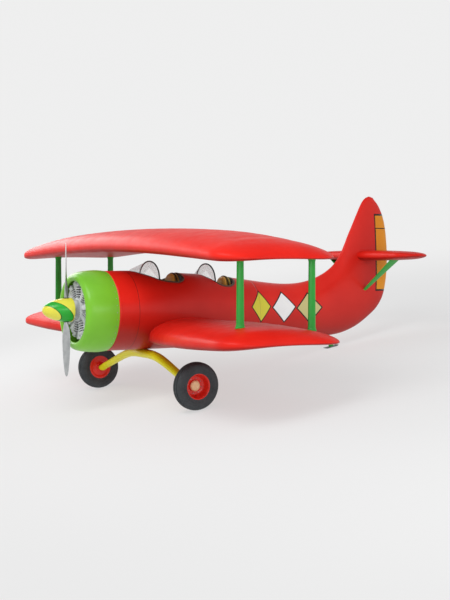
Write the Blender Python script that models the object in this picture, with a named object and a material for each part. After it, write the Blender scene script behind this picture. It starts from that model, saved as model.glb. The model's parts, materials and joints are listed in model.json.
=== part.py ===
"""Two-seat open biplane with a cowled nine-cylinder radial engine, parked on its two
main wheels and a tail skid.

Everything is drawn in the level-flight frame, by station, side and height, and hangs
on one empty that tips the machine back on to its skid. All sizes are in metres."""

import math

import bmesh
import bpy
import numpy as np
from mathutils import Matrix, Vector

# Clearance between two pieces that are seated on each other
SEAT_GAP = 0.0004

# Spinner, propeller and engine, about the thrust line
SPINNER_LENGTH = 0.46
SPINNER_RADIUS = 0.185
SPINNER_WALL = 0.006
PROPELLER_STATION = 0.385
PROPELLER_RADIUS = 1.02
SHANK_RADIUS = 0.036
SHAFT_END = 0.140
ENGINE_STATION = 0.625
CYLINDER_COUNT = 9
CYLINDER_TOP = 0.46
ENGINE_DRUM_RADIUS = 0.16
FIN_RADIUS = 0.072
FINS = 4
BAFFLE_STATION = 0.731
BAFFLE_THICKNESS = 0.012
FIREWALL_STATION = 1.10
FIREWALL_THICKNESS = 0.015

# Cowl ring, centred a little under the thrust line as the fuselage is
COWL_DROP = -0.03
COWL_FRONT = 0.486
COWL_REAR = 0.995
COWL_INNER_RADIUS = 0.595

# Fuselage shell and cockpits
SHELL_WALL = 0.035
SHELL_FRONT = COWL_REAR + SEAT_GAP
SHELL_REAR = 3.60
CAVITY_REAR = 3.46
FLOOR_HEIGHT = -0.36
FLOOR_THICKNESS = 0.02

# Wings: stations of both edges at the tip, half span, chord line's height and its change
UPPER_FRONT, UPPER_REAR, UPPER_HALF_SPAN = 1.00, 2.91, 3.76
UPPER_HEIGHT, UPPER_TIP_DROP = 0.972, 0.175
LOWER_FRONT, LOWER_REAR, LOWER_HALF_SPAN = 1.05, 2.96, 3.84
LOWER_HEIGHT, LOWER_TIP_RISE = -0.455, 0.110
LOWER_ROOT_SETBACK, LOWER_SETBACK_REACH = 0.53, 2.40
WING_TIP_LENGTH = 0.46
WING_THICKNESS, WING_CAMBER = 0.32, 0.12
TAPER_LENGTH, TAPER_SHARE = 1.70, 0.34

# Interplane struts: station and side of each pair
STRUT_PLACES = {"front": (1.57, 3.20), "rear": (2.65, 3.32)}
STRUT_CHORD, STRUT_THICKNESS = 0.125, 0.052

# Main gear: wheel centre, camber in degrees with the tops outboard, tyre and wheel
WHEEL_STATION, WHEEL_SIDE, WHEEL_HEIGHT = 1.69, 1.735, -1.072
WHEEL_CAMBER = 2.5
TYRE_RADIUS, TYRE_WIDTH = 0.356, 0.20
RIM_RADIUS = 0.190
HUB_RADIUS, HUB_INNER, HUB_OUTER = 0.062, -0.105, -0.030
AXLE_RADIUS, AXLE_BORE = 0.0300, 0.0305
HUBCAP_RADIUS, HUBCAP_HEIGHT = 0.080, 0.030
BOW_FOOT_SIDE = WHEEL_SIDE + HUB_INNER - 0.030

# Tail
HINGE_STATION = 6.255
RUDDER_LOW, RUDDER_HIGH, RUDDER_SPLIT = 0.225, 1.53, 1.30
RUDDER_NOSE = 0.086
RUDDER_CLEARANCE = 0.008
PIN_RADIUS, PIN_BORE, PIN_DEPTH = 0.0160, 0.0166, 0.030
TAILPLANE_FRONT, TAILPLANE_REAR = 5.79, 6.42
TAILPLANE_HEIGHT, TAILPLANE_THICKNESS = 0.825, 0.175
TAILPLANE_HALF_SPAN, TAILPLANE_TIP_LENGTH = 1.34, 0.26
TAILPLANE_NOTCH = 0.23
SKID_STATION, SKID_HEIGHT = 5.30, -0.760
SHOE_LENGTH, SHOE_WIDTH, SHOE_THICKNESS = 0.20, 0.09, 0.022

# Paints and finishes: colour, roughness, metallic
FINISHES = {
    "red_dope": ((0.80, 0.030, 0.018), 0.35, 0.0),
    "cowl_green": ((0.22, 0.55, 0.045), 0.30, 0.0),
    "strut_green": ((0.027, 0.36, 0.042), 0.35, 0.0),
    "gear_yellow": ((0.80, 0.68, 0.025), 0.35, 0.0),
    "spinner_yellow": ((0.85, 0.76, 0.12), 0.30, 0.0),
    "rudder_orange": ((0.75, 0.25, 0.006), 0.35, 0.0),
    "engine_grey": ((0.47, 0.48, 0.49), 0.40, 0.7),
    "blade_grey": ((0.52, 0.53, 0.54), 0.30, 0.8),
    "tyre_black": ((0.038, 0.043, 0.047), 0.75, 0.0),
    "rim_red": ((0.70, 0.032, 0.020), 0.35, 0.0),
    "hubcap_cream": ((0.80, 0.50, 0.27), 0.40, 0.0),
    "bare_steel": ((0.30, 0.30, 0.31), 0.40, 0.9),
    "windscreen": ((0.80, 0.92, 0.92), 0.05, 0.0),
    "seat_leather": ((0.47, 0.24, 0.014), 0.55, 0.0),
    "interior_grey": ((0.16, 0.17, 0.20), 0.60, 0.0),
}

# Hull sections: station and height of the upper point, the same of the lower point,
# half width. Past the tail cone the upper points climb the fin's leading edge and the
# lower points its trailing edge.
HULL_SECTIONS = [
    (SHELL_FRONT, 0.590, SHELL_FRONT, -0.650, 0.620),
    (1.500, 0.590, 1.500, -0.650, 0.612),
    (1.900, 0.572, 1.900, -0.650, 0.598),
    (2.400, 0.545, 2.400, -0.648, 0.570),
    (2.900, 0.515, 2.900, -0.642, 0.530),
    (3.250, 0.470, 3.250, -0.636, 0.490),
    (SHELL_REAR, 0.425, SHELL_REAR, -0.628, 0.445),
    (3.950, 0.380, 4.000, -0.618, 0.400),
    (4.300, 0.352, 4.400, -0.604, 0.350),
    (4.600, 0.362, 4.780, -0.585, 0.298),
    (4.850, 0.408, 5.150, -0.558, 0.245),
    (5.050, 0.480, 5.500, -0.510, 0.198),
    (5.220, 0.570, 5.800, -0.405, 0.160),
    (5.380, 0.705, 6.080, -0.235, 0.130),
    (5.490, 0.860, 6.270, -0.080, 0.112),
    (5.560, 0.995, 6.395, 0.110, 0.100),
    (5.612, 1.110, 6.458, 0.350, 0.092),
    (5.660, 1.210, 6.487, 0.610, 0.086),
    (5.712, 1.312, 6.490, 0.860, 0.080),
    (5.775, 1.440, 6.472, 1.100, 0.073),
    (5.840, 1.570, 6.445, 1.300, 0.065),
    (5.905, 1.695, 6.400, 1.480, 0.056),
    (5.960, 1.778, 6.340, 1.620, 0.046),
    (6.020, 1.832, 6.270, 1.730, 0.034),
    (6.070, 1.850, 6.190, 1.815, 0.018),
]

# Each cockpit's cut as seen from the side: station and height along its lower edge
COCKPIT_CUTS = {
    "front": [(1.40, 0.75), (1.43, 0.585), (1.64, 0.510), (1.84, 0.435), (2.00, 0.409),
              (2.17, 0.411), (2.27, 0.470), (2.31, 0.75)],
    "rear": [(2.60, 0.75), (2.635, 0.530), (2.77, 0.440), (2.89, 0.352), (3.01, 0.327),
             (3.14, 0.343), (3.235, 0.420), (3.26, 0.75)],
}

# Windscreens: station of the tip and of the rear rim, height of the rim's top
WINDSCREENS = {"front": (1.465, 1.80, 0.735), "rear": (2.650, 2.82, 0.690)}
SCREEN_WALL = 0.007

# Seats: station of the back rest's front face, height of its top, half width. The back
# rests are deep enough to fill the rear end of each cockpit.
SEATS = {"front": (2.13, 0.545, 0.235), "rear": (3.08, 0.490, 0.215)}
BACK_DEPTH = 0.17


def at(station, side, height):
    """A point in the level frame from its station aft of the spinner's tip, its side,
    where port is positive, and its height over the thrust line."""
    return Vector((-station, side, height))


def tyre_profile():
    """Closed tyre section as (radius, distance outboard) points."""
    bead = (RIM_RADIUS + 0.0006) / math.cos(math.pi / 32)
    half = TYRE_WIDTH / 2
    crown = [(bead, -0.074), (0.222, -0.086), (0.262, -half), (0.304, -half * 0.97),
             (0.334, -half * 0.76), (0.350, -half * 0.45), (TYRE_RADIUS, -half * 0.13)]
    return crown + [(radius, -along) for radius, along in crown[::-1]]


def rolling_radius():
    """Height of a wheel's centre over the floor with the wheel leaning by its camber."""
    lean = math.radians(WHEEL_CAMBER)
    return max(radius * math.cos(lean) + along * math.sin(lean)
               for radius, along in tyre_profile())


def parked_pitch():
    """Nose-up angle at which the floor touches both main wheels and the skid's shoe."""
    run = SKID_STATION - WHEEL_STATION
    rise = WHEEL_HEIGHT - SKID_HEIGHT
    return math.asin(rolling_radius() / math.hypot(run, rise)) - math.atan2(rise, run)


def finish_of(name):
    """The named paint or finish as a material, made once."""
    found = bpy.data.materials.get(name)
    if found:
        return found
    colour, roughness, metallic = FINISHES[name]
    made = bpy.data.materials.new(name)
    made.use_nodes = True
    shader = made.node_tree.nodes["Principled BSDF"]
    shader.inputs["Base Color"].default_value = (*colour, 1.0)
    shader.inputs["Roughness"].default_value = roughness
    shader.inputs["Metallic"].default_value = metallic
    return made


def collection_of(name):
    """The named collection, made once."""
    found = bpy.data.collections.get(name)
    if not found:
        found = bpy.data.collections.new(name)
        bpy.context.scene.collection.children.link(found)
    return found


def piece(name, mesh, finish=None):
    """A named part in the biplane's collection, or a hidden cutter if it has no finish."""
    made = bpy.data.objects.new(name, mesh)
    if finish:
        collection_of("biplane").objects.link(made)
        mesh.materials.append(finish_of(finish))
        made.parent = bpy.data.objects["parked_attitude"]
    else:
        collection_of("cutters").objects.link(made)
        made.hide_render = True
        made.display_type = "WIRE"
    return made


def mesh_from(name, shape):
    """Turns a bmesh into a mesh with outward faces and smooth round sides."""
    bmesh.ops.recalc_face_normals(shape, faces=shape.faces)
    mesh = bpy.data.meshes.new(name)
    shape.to_mesh(mesh)
    shape.free()
    mesh.shade_smooth()
    mesh.set_sharp_from_angle(angle=math.radians(40))
    return mesh


def loft(name, rings, finish=None):
    """A closed skin over rings of equally many points, capped at its two ends."""
    shape = bmesh.new()
    rows = [[shape.verts.new(point) for point in ring] for ring in rings]
    count = len(rows[0])
    for first, second in zip(rows, rows[1:]):
        for i in range(count):
            j = (i + 1) % count
            shape.faces.new((first[i], first[j], second[j]))
            shape.faces.new((first[i], second[j], second[i]))
    shape.faces.new(rows[0])
    shape.faces.new(rows[-1])
    return piece(name, mesh_from(name, shape), finish)


def turned(name, profile, centre, axis, steps, finish=None):
    """A closed profile of (radius, distance along the axis) turned about that axis."""
    axis = Vector(axis).normalized()
    out = axis.orthogonal().normalized()
    side = axis.cross(out)
    shape = bmesh.new()
    rows = []
    for radius, along in profile:
        middle = Vector(centre) + axis * along
        if radius < 1e-6:
            rows.append([shape.verts.new(middle)])
            continue
        angles = (2 * math.pi * i / steps for i in range(steps))
        rows.append([shape.verts.new(middle + out * radius * math.cos(a)
                                     + side * radius * math.sin(a)) for a in angles])
    for first, second in zip(rows, rows[1:] + rows[:1]):
        if len(first) == len(second) == 1:
            continue
        for i in range(steps):
            j = (i + 1) % steps
            corners = [first[i % len(first)], first[j % len(first)],
                       second[j % len(second)], second[i % len(second)]]
            shape.faces.new(list(dict.fromkeys(corners)))
    return piece(name, mesh_from(name, shape), finish)


def box(name, low, high, finish=None):
    """A box between two corners of the level frame."""
    shape = bmesh.new()
    bmesh.ops.create_cube(shape, size=1.0)
    low, high = Vector(low), Vector(high)
    size = high - low
    bmesh.ops.scale(shape, vec=[abs(x) for x in size], verts=shape.verts)
    bmesh.ops.translate(shape, vec=(low + high) / 2, verts=shape.verts)
    return piece(name, mesh_from(name, shape), finish)


def prism(name, outline, half_width, finish=None):
    """A side-view outline of (station, height) drawn out to both sides."""
    rings = [[at(s, side, h) for s, h in outline] for side in (half_width, -half_width)]
    return loft(name, rings, finish)


def bake(made):
    """Replaces a piece's mesh by its modified one."""
    bpy.context.view_layer.update()
    graph = bpy.context.evaluated_depsgraph_get()
    mesh = bpy.data.meshes.new_from_object(made.evaluated_get(graph))
    made.modifiers.clear()
    made.data = mesh
    return made


def combine(made, other, operation):
    """Applies one exact Boolean to a piece and drops the other shape."""
    made.parent = None
    step = made.modifiers.new(operation.lower(), "BOOLEAN")
    step.operation = operation
    step.object = other
    bake(made)
    if made.name in collection_of("biplane").objects:
        made.parent = bpy.data.objects["parked_attitude"]
    bpy.data.objects.remove(other)
    return made


def grown(made, distance):
    """A hidden copy whose skin is moved outwards, or inwards if the distance is negative."""
    copy = piece(made.name + "_grown", made.data.copy())
    shape = bmesh.new()
    shape.from_mesh(copy.data)
    bmesh.ops.remove_doubles(shape, verts=shape.verts, dist=1e-6)
    shape.normal_update()
    moves = [vert.normal * vert.calc_shell_factor() * distance for vert in shape.verts]
    for vert, move in zip(shape.verts, moves):
        vert.co += move
    shape.to_mesh(copy.data)
    shape.free()
    return copy


def seat_against(made, carrier):
    """Cuts a piece back from what carries it, so that it ends on that skin."""
    return combine(made, grown(carrier, SEAT_GAP), "DIFFERENCE")


def ellipse_ring(middle, first, second, count=32, power=2.0):
    """A ring about a middle, with its two half axes as vectors; a power over 2 squares it."""
    ring = []
    for i in range(count):
        a = 2 * math.pi * i / count
        c, s = math.cos(a), math.sin(a)
        c = math.copysign(abs(c) ** (2 / power), c)
        s = math.copysign(abs(s) ** (2 / power), s)
        ring.append(middle + first * c + second * s)
    return ring


def hull_rings(inset=0.0, last=None):
    """Elliptic rings over the hull's sections, brought in by a wall's thickness."""
    rings = []
    for top_s, top_h, low_s, low_h, half_width in HULL_SECTIONS[:last]:
        top, low = at(top_s, 0, top_h), at(low_s, 0, low_h)
        half_height = (top - low) / 2
        half_height -= half_height.normalized() * inset
        rings.append(ellipse_ring((top + low) / 2, half_height,
                                  Vector((0, half_width - inset, 0))))
    return rings


def wing_section(count=10, crest=0.4, nose_power=3.0, tail_power=2.2):
    """Section points from the trailing edge over the top to the leading edge and back
    below, as shares of chord and of thickness. Two superellipse quarters meet at the
    crest, a blunt one ahead of it and a finer one behind."""
    shares = [(1 - math.cos(math.pi * i / count)) / 2 for i in range(count + 1)]
    halves = []
    for x in shares:
        run, power = (1 - x / crest, nose_power) if x < crest else (
            (x - crest) / (1 - crest), tail_power)
        halves.append(0.5 * max(0.0, 1 - run ** power) ** (1 / power))
    upper = list(zip(shares, halves))[::-1]
    lower = [(x, -h) for x, h in zip(shares, halves)][1:-1]
    return upper + lower


def wing_rings(sides, front, rear, height, half_span, tip_length, thickness, camber, taper):
    """Section rings at the given sides. Front edge, rear edge and height are functions of
    the side. The section thins by a share over the taper's length, and over the last
    tip_length the plan and the section round off together."""
    rings = []
    for side in sides:
        reach = max(0.0, (abs(side) - (half_span - tip_length)) / tip_length)
        share = (1 - min(reach, 0.998) ** 2.4) ** 0.5
        lead, trail = front(side), rear(side)
        inset = tip_length * (1 - share)
        lead, trail = lead + inset, trail - inset
        outboard = max(0.0, 1 - (half_span - abs(side)) / taper[0])
        thin = 1 - taper[1] * outboard ** 2
        deep = thickness * share ** 0.9 * thin
        ring = []
        for x, h in wing_section():
            bend = 4 * camber * share * thin * x * (1 - x)
            ring.append(at(lead + x * (trail - lead), side, height(side) + h * deep + bend))
        rings.append(ring)
    return rings


def tip_sides(half_span, tip_length, root, straight=6, rounded=6):
    """Sides from the root out to the tip, closer together where the plan rounds off."""
    inner = np.linspace(root, half_span - tip_length, straight)
    outer = half_span - tip_length + tip_length * np.sin(np.linspace(0, math.pi / 2, rounded))
    return [float(x) for x in (*inner, *outer[1:])]


def make_upper_wing():
    """One arched wing from tip to tip."""
    half = tip_sides(UPPER_HALF_SPAN, WING_TIP_LENGTH, 0.0)
    sides = [-x for x in half[:0:-1]] + half
    rings = wing_rings(
        sides, lambda y: UPPER_FRONT, lambda y: UPPER_REAR,
        lambda y: UPPER_HEIGHT - UPPER_TIP_DROP * (abs(y) / UPPER_HALF_SPAN) ** 2,
        UPPER_HALF_SPAN, WING_TIP_LENGTH, WING_THICKNESS, WING_CAMBER,
        (TAPER_LENGTH, TAPER_SHARE))
    return loft("upper_wing", rings, "red_dope")


def make_lower_wing(hand, sign, hull):
    """One lower panel, its nose swept back towards the root, cut to the fuselage's side."""
    sides = [sign * x for x in tip_sides(LOWER_HALF_SPAN, WING_TIP_LENGTH, 0.28, 7)]

    def nose(y):
        inboard = max(0.0, 1 - (abs(y) - 0.45) / LOWER_SETBACK_REACH)
        return LOWER_FRONT + LOWER_ROOT_SETBACK * min(1.0, inboard) ** 2

    rings = wing_rings(
        sides, nose, lambda y: LOWER_REAR,
        lambda y: LOWER_HEIGHT + LOWER_TIP_RISE * (abs(y) / LOWER_HALF_SPAN) ** 0.8,
        LOWER_HALF_SPAN, WING_TIP_LENGTH, WING_THICKNESS, WING_CAMBER,
        (TAPER_LENGTH, TAPER_SHARE))
    return seat_against(loft("lower_wing_" + hand, rings, "red_dope"), hull)


def make_strut(name, low, high, chords, thickness, carriers):
    """A streamlined strut between two points, with its chord at either end, its ends
    cut to the skins they meet."""
    rings = []
    for share in (0.0, 0.25, 0.5, 0.75, 1.0):
        chord = chords[0] + (chords[1] - chords[0]) * share
        rings.append(ellipse_ring(low.lerp(high, share), Vector((chord / 2, 0, 0)),
                                  Vector((0, thickness / 2, 0)), 14))
    made = loft(name, rings, "strut_green")
    for carrier in carriers:
        seat_against(made, carrier)
    return made


def make_spinner():
    """A hollow half-ellipsoid shell with two round holes for the blade shanks."""
    def outline(radius, length, steps=7):
        rises = [math.pi / 2 * i / steps for i in range(steps + 1)]
        return [(radius * math.sin(a), SPINNER_LENGTH - length * math.cos(a)) for a in rises]

    outer = outline(SPINNER_RADIUS, SPINNER_LENGTH)
    inner = outline(SPINNER_RADIUS - SPINNER_WALL, SPINNER_LENGTH - SPINNER_WALL)
    made = turned("spinner", outer + inner[::-1], at(0, 0, 0), (-1, 0, 0), 24, "spinner_yellow")
    hole = SHANK_RADIUS + 0.004
    reach = 2 * SPINNER_RADIUS
    holes = turned("shank_holes", [(0, -reach), (hole, -reach), (hole, reach), (0, reach)],
                   at(PROPELLER_STATION, 0, 0), (0, 0, 1), 14)
    return combine(made, holes, "DIFFERENCE")


def make_propeller():
    """Hub disc, drive shaft and two twisted blades as one forging."""
    # Columns: share of radius, chord, thickness, pitch angle in degrees
    blade = [(0.05, 0.060, 0.060, 50), (0.20, 0.066, 0.058, 45), (0.30, 0.115, 0.038, 38),
             (0.45, 0.150, 0.027, 30), (0.65, 0.150, 0.020, 23), (0.85, 0.118, 0.014, 18),
             (0.95, 0.080, 0.010, 16), (0.99, 0.042, 0.007, 15)]
    plate = SPINNER_RADIUS - SPINNER_WALL - 0.0012
    back = SPINNER_LENGTH - PROPELLER_STATION - SEAT_GAP
    hub_profile = [(0, -0.050), (0.075, -0.050), (0.090, -0.035), (0.090, 0.035), (0.060, 0.060),
                   (plate, back - 0.015), (plate, back), (0.050, back),
                   (0.050, SHAFT_END - SEAT_GAP), (0, SHAFT_END - SEAT_GAP)]
    made = turned("propeller", hub_profile, at(PROPELLER_STATION, 0, 0), (-1, 0, 0), 24,
                  "blade_grey")
    for hand in (1, -1):
        rings = []
        for share, chord, thickness, pitch in blade:
            a = math.radians(pitch)
            along = Vector((math.sin(a), hand * math.cos(a), 0)) * chord / 2
            across = Vector((math.cos(a), -hand * math.sin(a), 0)) * thickness / 2
            middle = at(PROPELLER_STATION, 0, hand * share * PROPELLER_RADIUS)
            rings.append(ellipse_ring(middle, along, across, 16))
        combine(made, loft("blade", rings), "UNION")
    return made


def make_engine():
    """Crankcase with its nose and mounting drum, and nine finned cylinders around it."""
    nose = PROPELLER_STATION + SHAFT_END - ENGINE_STATION
    mount = FIREWALL_STATION - SEAT_GAP - ENGINE_STATION
    case = [(0, nose), (0.060, nose), (0.090, -0.085), (0.164, -0.078), (0.190, -0.068),
            (0.190, 0.080), (ENGINE_DRUM_RADIUS, 0.095), (ENGINE_DRUM_RADIUS, mount),
            (0, mount)]
    made = turned("engine", case, at(ENGINE_STATION, 0, 0), (-1, 0, 0), 27, "engine_grey")
    barrel = [(0, 0.13), (0.052, 0.13)]
    first, pitch = 0.215, 0.046
    for i in range(FINS):
        low = first + i * pitch
        barrel += [(0.054, low), (FIN_RADIUS, low), (FIN_RADIUS, low + 0.016),
                   (0.054, low + 0.016)]
    barrel += [(0.054, 0.402), (0.068, 0.402), (0.062, CYLINDER_TOP - 0.015),
               (0.035, CYLINDER_TOP), (0, CYLINDER_TOP)]
    for i in range(CYLINDER_COUNT):
        a = math.radians(90 - i * 360 / CYLINDER_COUNT)
        combine(made, turned("cylinder", barrel, at(ENGINE_STATION, 0, 0),
                             (0, math.cos(a), math.sin(a)), 8), "UNION")
    return made


def make_cowl():
    """A blunt-lipped ring cowl as one turned wall."""
    outside = [(0.469, 0.532), (0.474, 0.507), (0.505, COWL_FRONT), (0.546, 0.492),
               (0.580, 0.522), (0.603, 0.585), (0.620, 0.680), (0.631, 0.790),
               (0.633, 0.880), (0.622, COWL_REAR)]
    inside = [(COWL_INNER_RADIUS, COWL_REAR), (COWL_INNER_RADIUS, 0.66), (0.573, 0.600),
              (0.536, 0.562), (0.492, 0.548)]
    return turned("cowl", outside + inside, at(0, 0, COWL_DROP), (-1, 0, 0), 36, "cowl_green")


def make_baffle():
    """The light disc between and behind the cylinders, held by the cowl and the engine."""
    hole = ENGINE_DRUM_RADIUS + SEAT_GAP
    rim = COWL_INNER_RADIUS - SEAT_GAP
    return_edge = BAFFLE_STATION + BAFFLE_THICKNESS
    made = turned("engine_baffle", [(0, BAFFLE_STATION), (rim, BAFFLE_STATION),
                                    (rim, return_edge), (0, return_edge)],
                  at(0, 0, COWL_DROP), (-1, 0, 0), 36, "engine_grey")
    cutter = turned("case_hole", [(0, 0.7), (hole, 0.7), (hole, 1.0), (0, 1.0)],
                    at(0, 0, 0), (-1, 0, 0), 27)
    return combine(made, cutter, "DIFFERENCE")


def make_cavity():
    """The space inside the shell: the hull's own sections brought in by the wall."""
    rings = hull_rings(SHELL_WALL, 7)
    ahead = [point + Vector((0.1, 0, 0)) for point in rings[0]]
    share = (CAVITY_REAR - 3.25) / (SHELL_REAR - 3.25)
    end = [a.lerp(b, share) for a, b in zip(rings[5], rings[6])]
    return loft("cavity", [ahead, *rings[:6], end])


def cut_cockpits(made):
    """Takes both cockpit cut-outs from a hull."""
    for name, edge in COCKPIT_CUTS.items():
        combine(made, prism(name + "_cut", edge, 0.7), "DIFFERENCE")
    return made


def make_fuselage(cavity):
    """The hollow front body from cowl to rear bulkhead, with both cockpits cut out."""
    rings = hull_rings(0.0, 7)
    made = loft("fuselage", rings, "red_dope")
    combine(made, grown(cavity, 0.0), "DIFFERENCE")
    return cut_cockpits(made)


def make_rear_body():
    """The tail cone that sweeps up into the fin, hollowed for the rudder's round nose."""
    rings = hull_rings()[6:]
    rings[0] = [point - Vector((SEAT_GAP, 0, 0)) for point in rings[0]]
    made = loft("rear_fuselage", rings, "red_dope")
    low, high = RUDDER_LOW - RUDDER_CLEARANCE, RUDDER_HIGH + RUDDER_CLEARANCE
    combine(made, rudder_blank("notch", low, high, RUDDER_NOSE + RUDDER_CLEARANCE),
            "DIFFERENCE")
    for end in (low, high):
        socket = turned("socket", [(0, end - PIN_DEPTH), (PIN_BORE, end - PIN_DEPTH),
                                   (PIN_BORE, end + PIN_DEPTH), (0, end + PIN_DEPTH)],
                        at(HINGE_STATION, 0, 0), (0, 0, 1), 16)
        combine(made, socket, "DIFFERENCE")
    return made


def rudder_blank(name, low, high, nose):
    """A block about the hinge line with a round nose, wider than the tail behind it."""
    arc = [(nose * math.cos(a), nose * math.sin(a))
           for a in np.linspace(math.pi / 2, 3 * math.pi / 2, 13)]
    outline = [(0.5, nose * 1.6), *arc, (0.5, -nose * 1.6)]
    rings = [[at(HINGE_STATION + x, y, z) for x, y in outline] for z in (low, high)]
    return loft(name, rings)


def make_rudder(hull):
    """Two stacked sections cut from the hull's own trailing edge, on one pivot line."""
    for name, low, high in (("rudder", RUDDER_LOW, RUDDER_SPLIT - SEAT_GAP),
                            ("rudder_top", RUDDER_SPLIT, RUDDER_HIGH)):
        made = piece(name, hull.data.copy(), "rudder_orange")
        combine(made, rudder_blank(name + "_blank", low, high, RUDDER_NOSE), "INTERSECT")
        reach = RUDDER_CLEARANCE + PIN_DEPTH - 0.002
        ends = (low - reach, low + 0.05) if name == "rudder" else (high - 0.05, high + reach)
        pivot = turned("pivot", [(0, ends[0]), (PIN_RADIUS, ends[0]), (PIN_RADIUS, ends[1]),
                                 (0, ends[1])], at(HINGE_STATION, 0, 0), (0, 0, 1), 16)
        combine(made, pivot, "UNION")


def make_tailplane(hand, sign, hull):
    """One half of the tailplane, notched at its root so that the rudder can swing."""
    sides = [sign * x for x in tip_sides(TAILPLANE_HALF_SPAN, TAILPLANE_TIP_LENGTH, 0.02, 2, 6)]
    rings = wing_rings(sides, lambda y: TAILPLANE_FRONT, lambda y: TAILPLANE_REAR,
                       lambda y: TAILPLANE_HEIGHT, TAILPLANE_HALF_SPAN,
                       TAILPLANE_TIP_LENGTH, TAILPLANE_THICKNESS, 0.0, (1.0, 0.35))
    made = loft("tailplane_" + hand, rings, "red_dope")
    notch = turned("rudder_swing", [(0, 0.5), (TAILPLANE_NOTCH, 0.5), (TAILPLANE_NOTCH, 1.2),
                                    (0, 1.2)], at(HINGE_STATION + 0.10, 0, 0), (0, 0, 1), 24)
    combine(made, notch, "DIFFERENCE")
    return seat_against(made, hull)


def make_gear_bow(hull):
    """The sprung bow from one wheel to the other, passing under the belly."""
    foot_height = WHEEL_HEIGHT + 0.004
    # Columns: side, height, half thickness, half width along the flight line
    half = [(0.0, -0.712, 0.070, 0.100), (0.25, -0.716, 0.068, 0.097),
            (0.50, -0.744, 0.063, 0.090), (0.75, -0.806, 0.059, 0.082),
            (1.00, -0.884, 0.056, 0.075), (1.25, -0.964, 0.054, 0.069),
            (1.45, -1.026, 0.052, 0.064), (BOW_FOOT_SIDE - 0.03, foot_height, 0.050, 0.058),
            (BOW_FOOT_SIDE, foot_height, 0.044, 0.052)]
    run = [(-y, *rest) for y, *rest in half[:0:-1]] + half
    rings = []
    for i, (y, z, thick, wide) in enumerate(run):
        before, after = run[max(i - 1, 0)], run[min(i + 1, len(run) - 1)]
        slope = math.atan2(after[1] - before[1], after[0] - before[0])
        up = Vector((0, -math.sin(slope), math.cos(slope)))
        rings.append(ellipse_ring(at(WHEEL_STATION, y, z), up * thick,
                                  Vector((wide, 0, 0)), 14))
    return seat_against(loft("gear_bow", rings, "gear_yellow"), hull)


def make_wheel(hand, sign, bow):
    """Axle stub, dished rim with its hub, hub cap and tyre of one main wheel."""
    centre = at(WHEEL_STATION, sign * WHEEL_SIDE, WHEEL_HEIGHT)
    lean = math.radians(WHEEL_CAMBER)
    out = Matrix.Rotation(parked_pitch(), 3, "Y") @ Vector((0, sign * math.cos(lean),
                                                            -math.sin(lean)))
    tip = HUB_OUTER - 0.012
    shoulder = HUB_INNER - 0.008
    axle = turned("axle_" + hand, [(0, shoulder - 0.06), (0.036, shoulder - 0.06),
                                   (0.036, shoulder), (AXLE_RADIUS, shoulder),
                                   (AXLE_RADIUS, tip), (0, tip)],
                  centre, out, 24, "bare_steel")
    seat_against(axle, bow)
    turned("rim_" + hand,
           [(AXLE_BORE, HUB_INNER), (HUB_RADIUS, HUB_INNER), (HUB_RADIUS, -0.066),
            (0.140, -0.060), (0.162, -0.078), (RIM_RADIUS, -0.078), (RIM_RADIUS, 0.078),
            (0.170, 0.074), (0.152, -0.030), (0.130, -0.044), (HUB_RADIUS, -0.048),
            (HUB_RADIUS, HUB_OUTER), (AXLE_BORE, HUB_OUTER)],
           centre, out, 24, "rim_red")
    cap = HUB_OUTER + SEAT_GAP
    turned("hubcap_" + hand,
           [(0, cap), (HUBCAP_RADIUS, cap), (HUBCAP_RADIUS, cap + 0.010),
            (HUBCAP_RADIUS - 0.016, cap + HUBCAP_HEIGHT), (0, cap + HUBCAP_HEIGHT)],
           centre, out, 24, "hubcap_cream")
    turned("tyre_" + hand, tyre_profile(), centre, out, 32, "tyre_black")


def make_skid(hull):
    """The tail skid's sprung bar and the flat shoe that stands on the floor."""
    pitch = parked_pitch()
    aft = Vector((-math.cos(pitch), 0, math.sin(pitch)))
    up = Vector((math.sin(pitch), 0, math.cos(pitch)))
    foot = at(SKID_STATION, 0, SKID_HEIGHT)
    low, high = [foot + aft * a + up * u for a, u in
                 ((-SHOE_LENGTH / 2, 0), (SHOE_LENGTH / 2, SHOE_THICKNESS))]
    ring = [foot + aft * a + up * u for a, u in
            ((-SHOE_LENGTH / 2, 0), (SHOE_LENGTH / 2, 0),
             (SHOE_LENGTH / 2 + 0.03, SHOE_THICKNESS), (-SHOE_LENGTH / 2 - 0.03, SHOE_THICKNESS))]
    rings = [[point + Vector((0, side, 0)) for point in ring]
             for side in (-SHOE_WIDTH / 2, SHOE_WIDTH / 2)]
    loft("skid_shoe", rings, "bare_steel")
    # Columns: distance ahead of the shoe's middle, height over the floor, half thickness
    run = [(0.00, SHOE_THICKNESS + SEAT_GAP, 0.045), (0.00, 0.060, 0.040),
           (0.03, 0.11, 0.038), (0.09, 0.20, 0.040), (0.17, 0.30, 0.044)]
    bar = [ellipse_ring(foot - aft * a + up * u, -aft * thick, Vector((0, 0.036, 0)), 16)
           for a, u, thick in run]
    return seat_against(loft("tail_skid", bar, "strut_green"), hull)


def hull_half_width(station, height, inset):
    """Half width of the front hull at a height, with its skin brought in by an inset."""
    rows = HULL_SECTIONS[:9]
    top, low, wide = [np.interp(station, [row[0] for row in rows], [row[i] for row in rows])
                      for i in (1, 3, 4)]
    share = (height - (top + low) / 2) / ((top - low) / 2 - inset)
    return (wide - inset) * math.sqrt(max(0.0, 1 - share * share))


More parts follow.
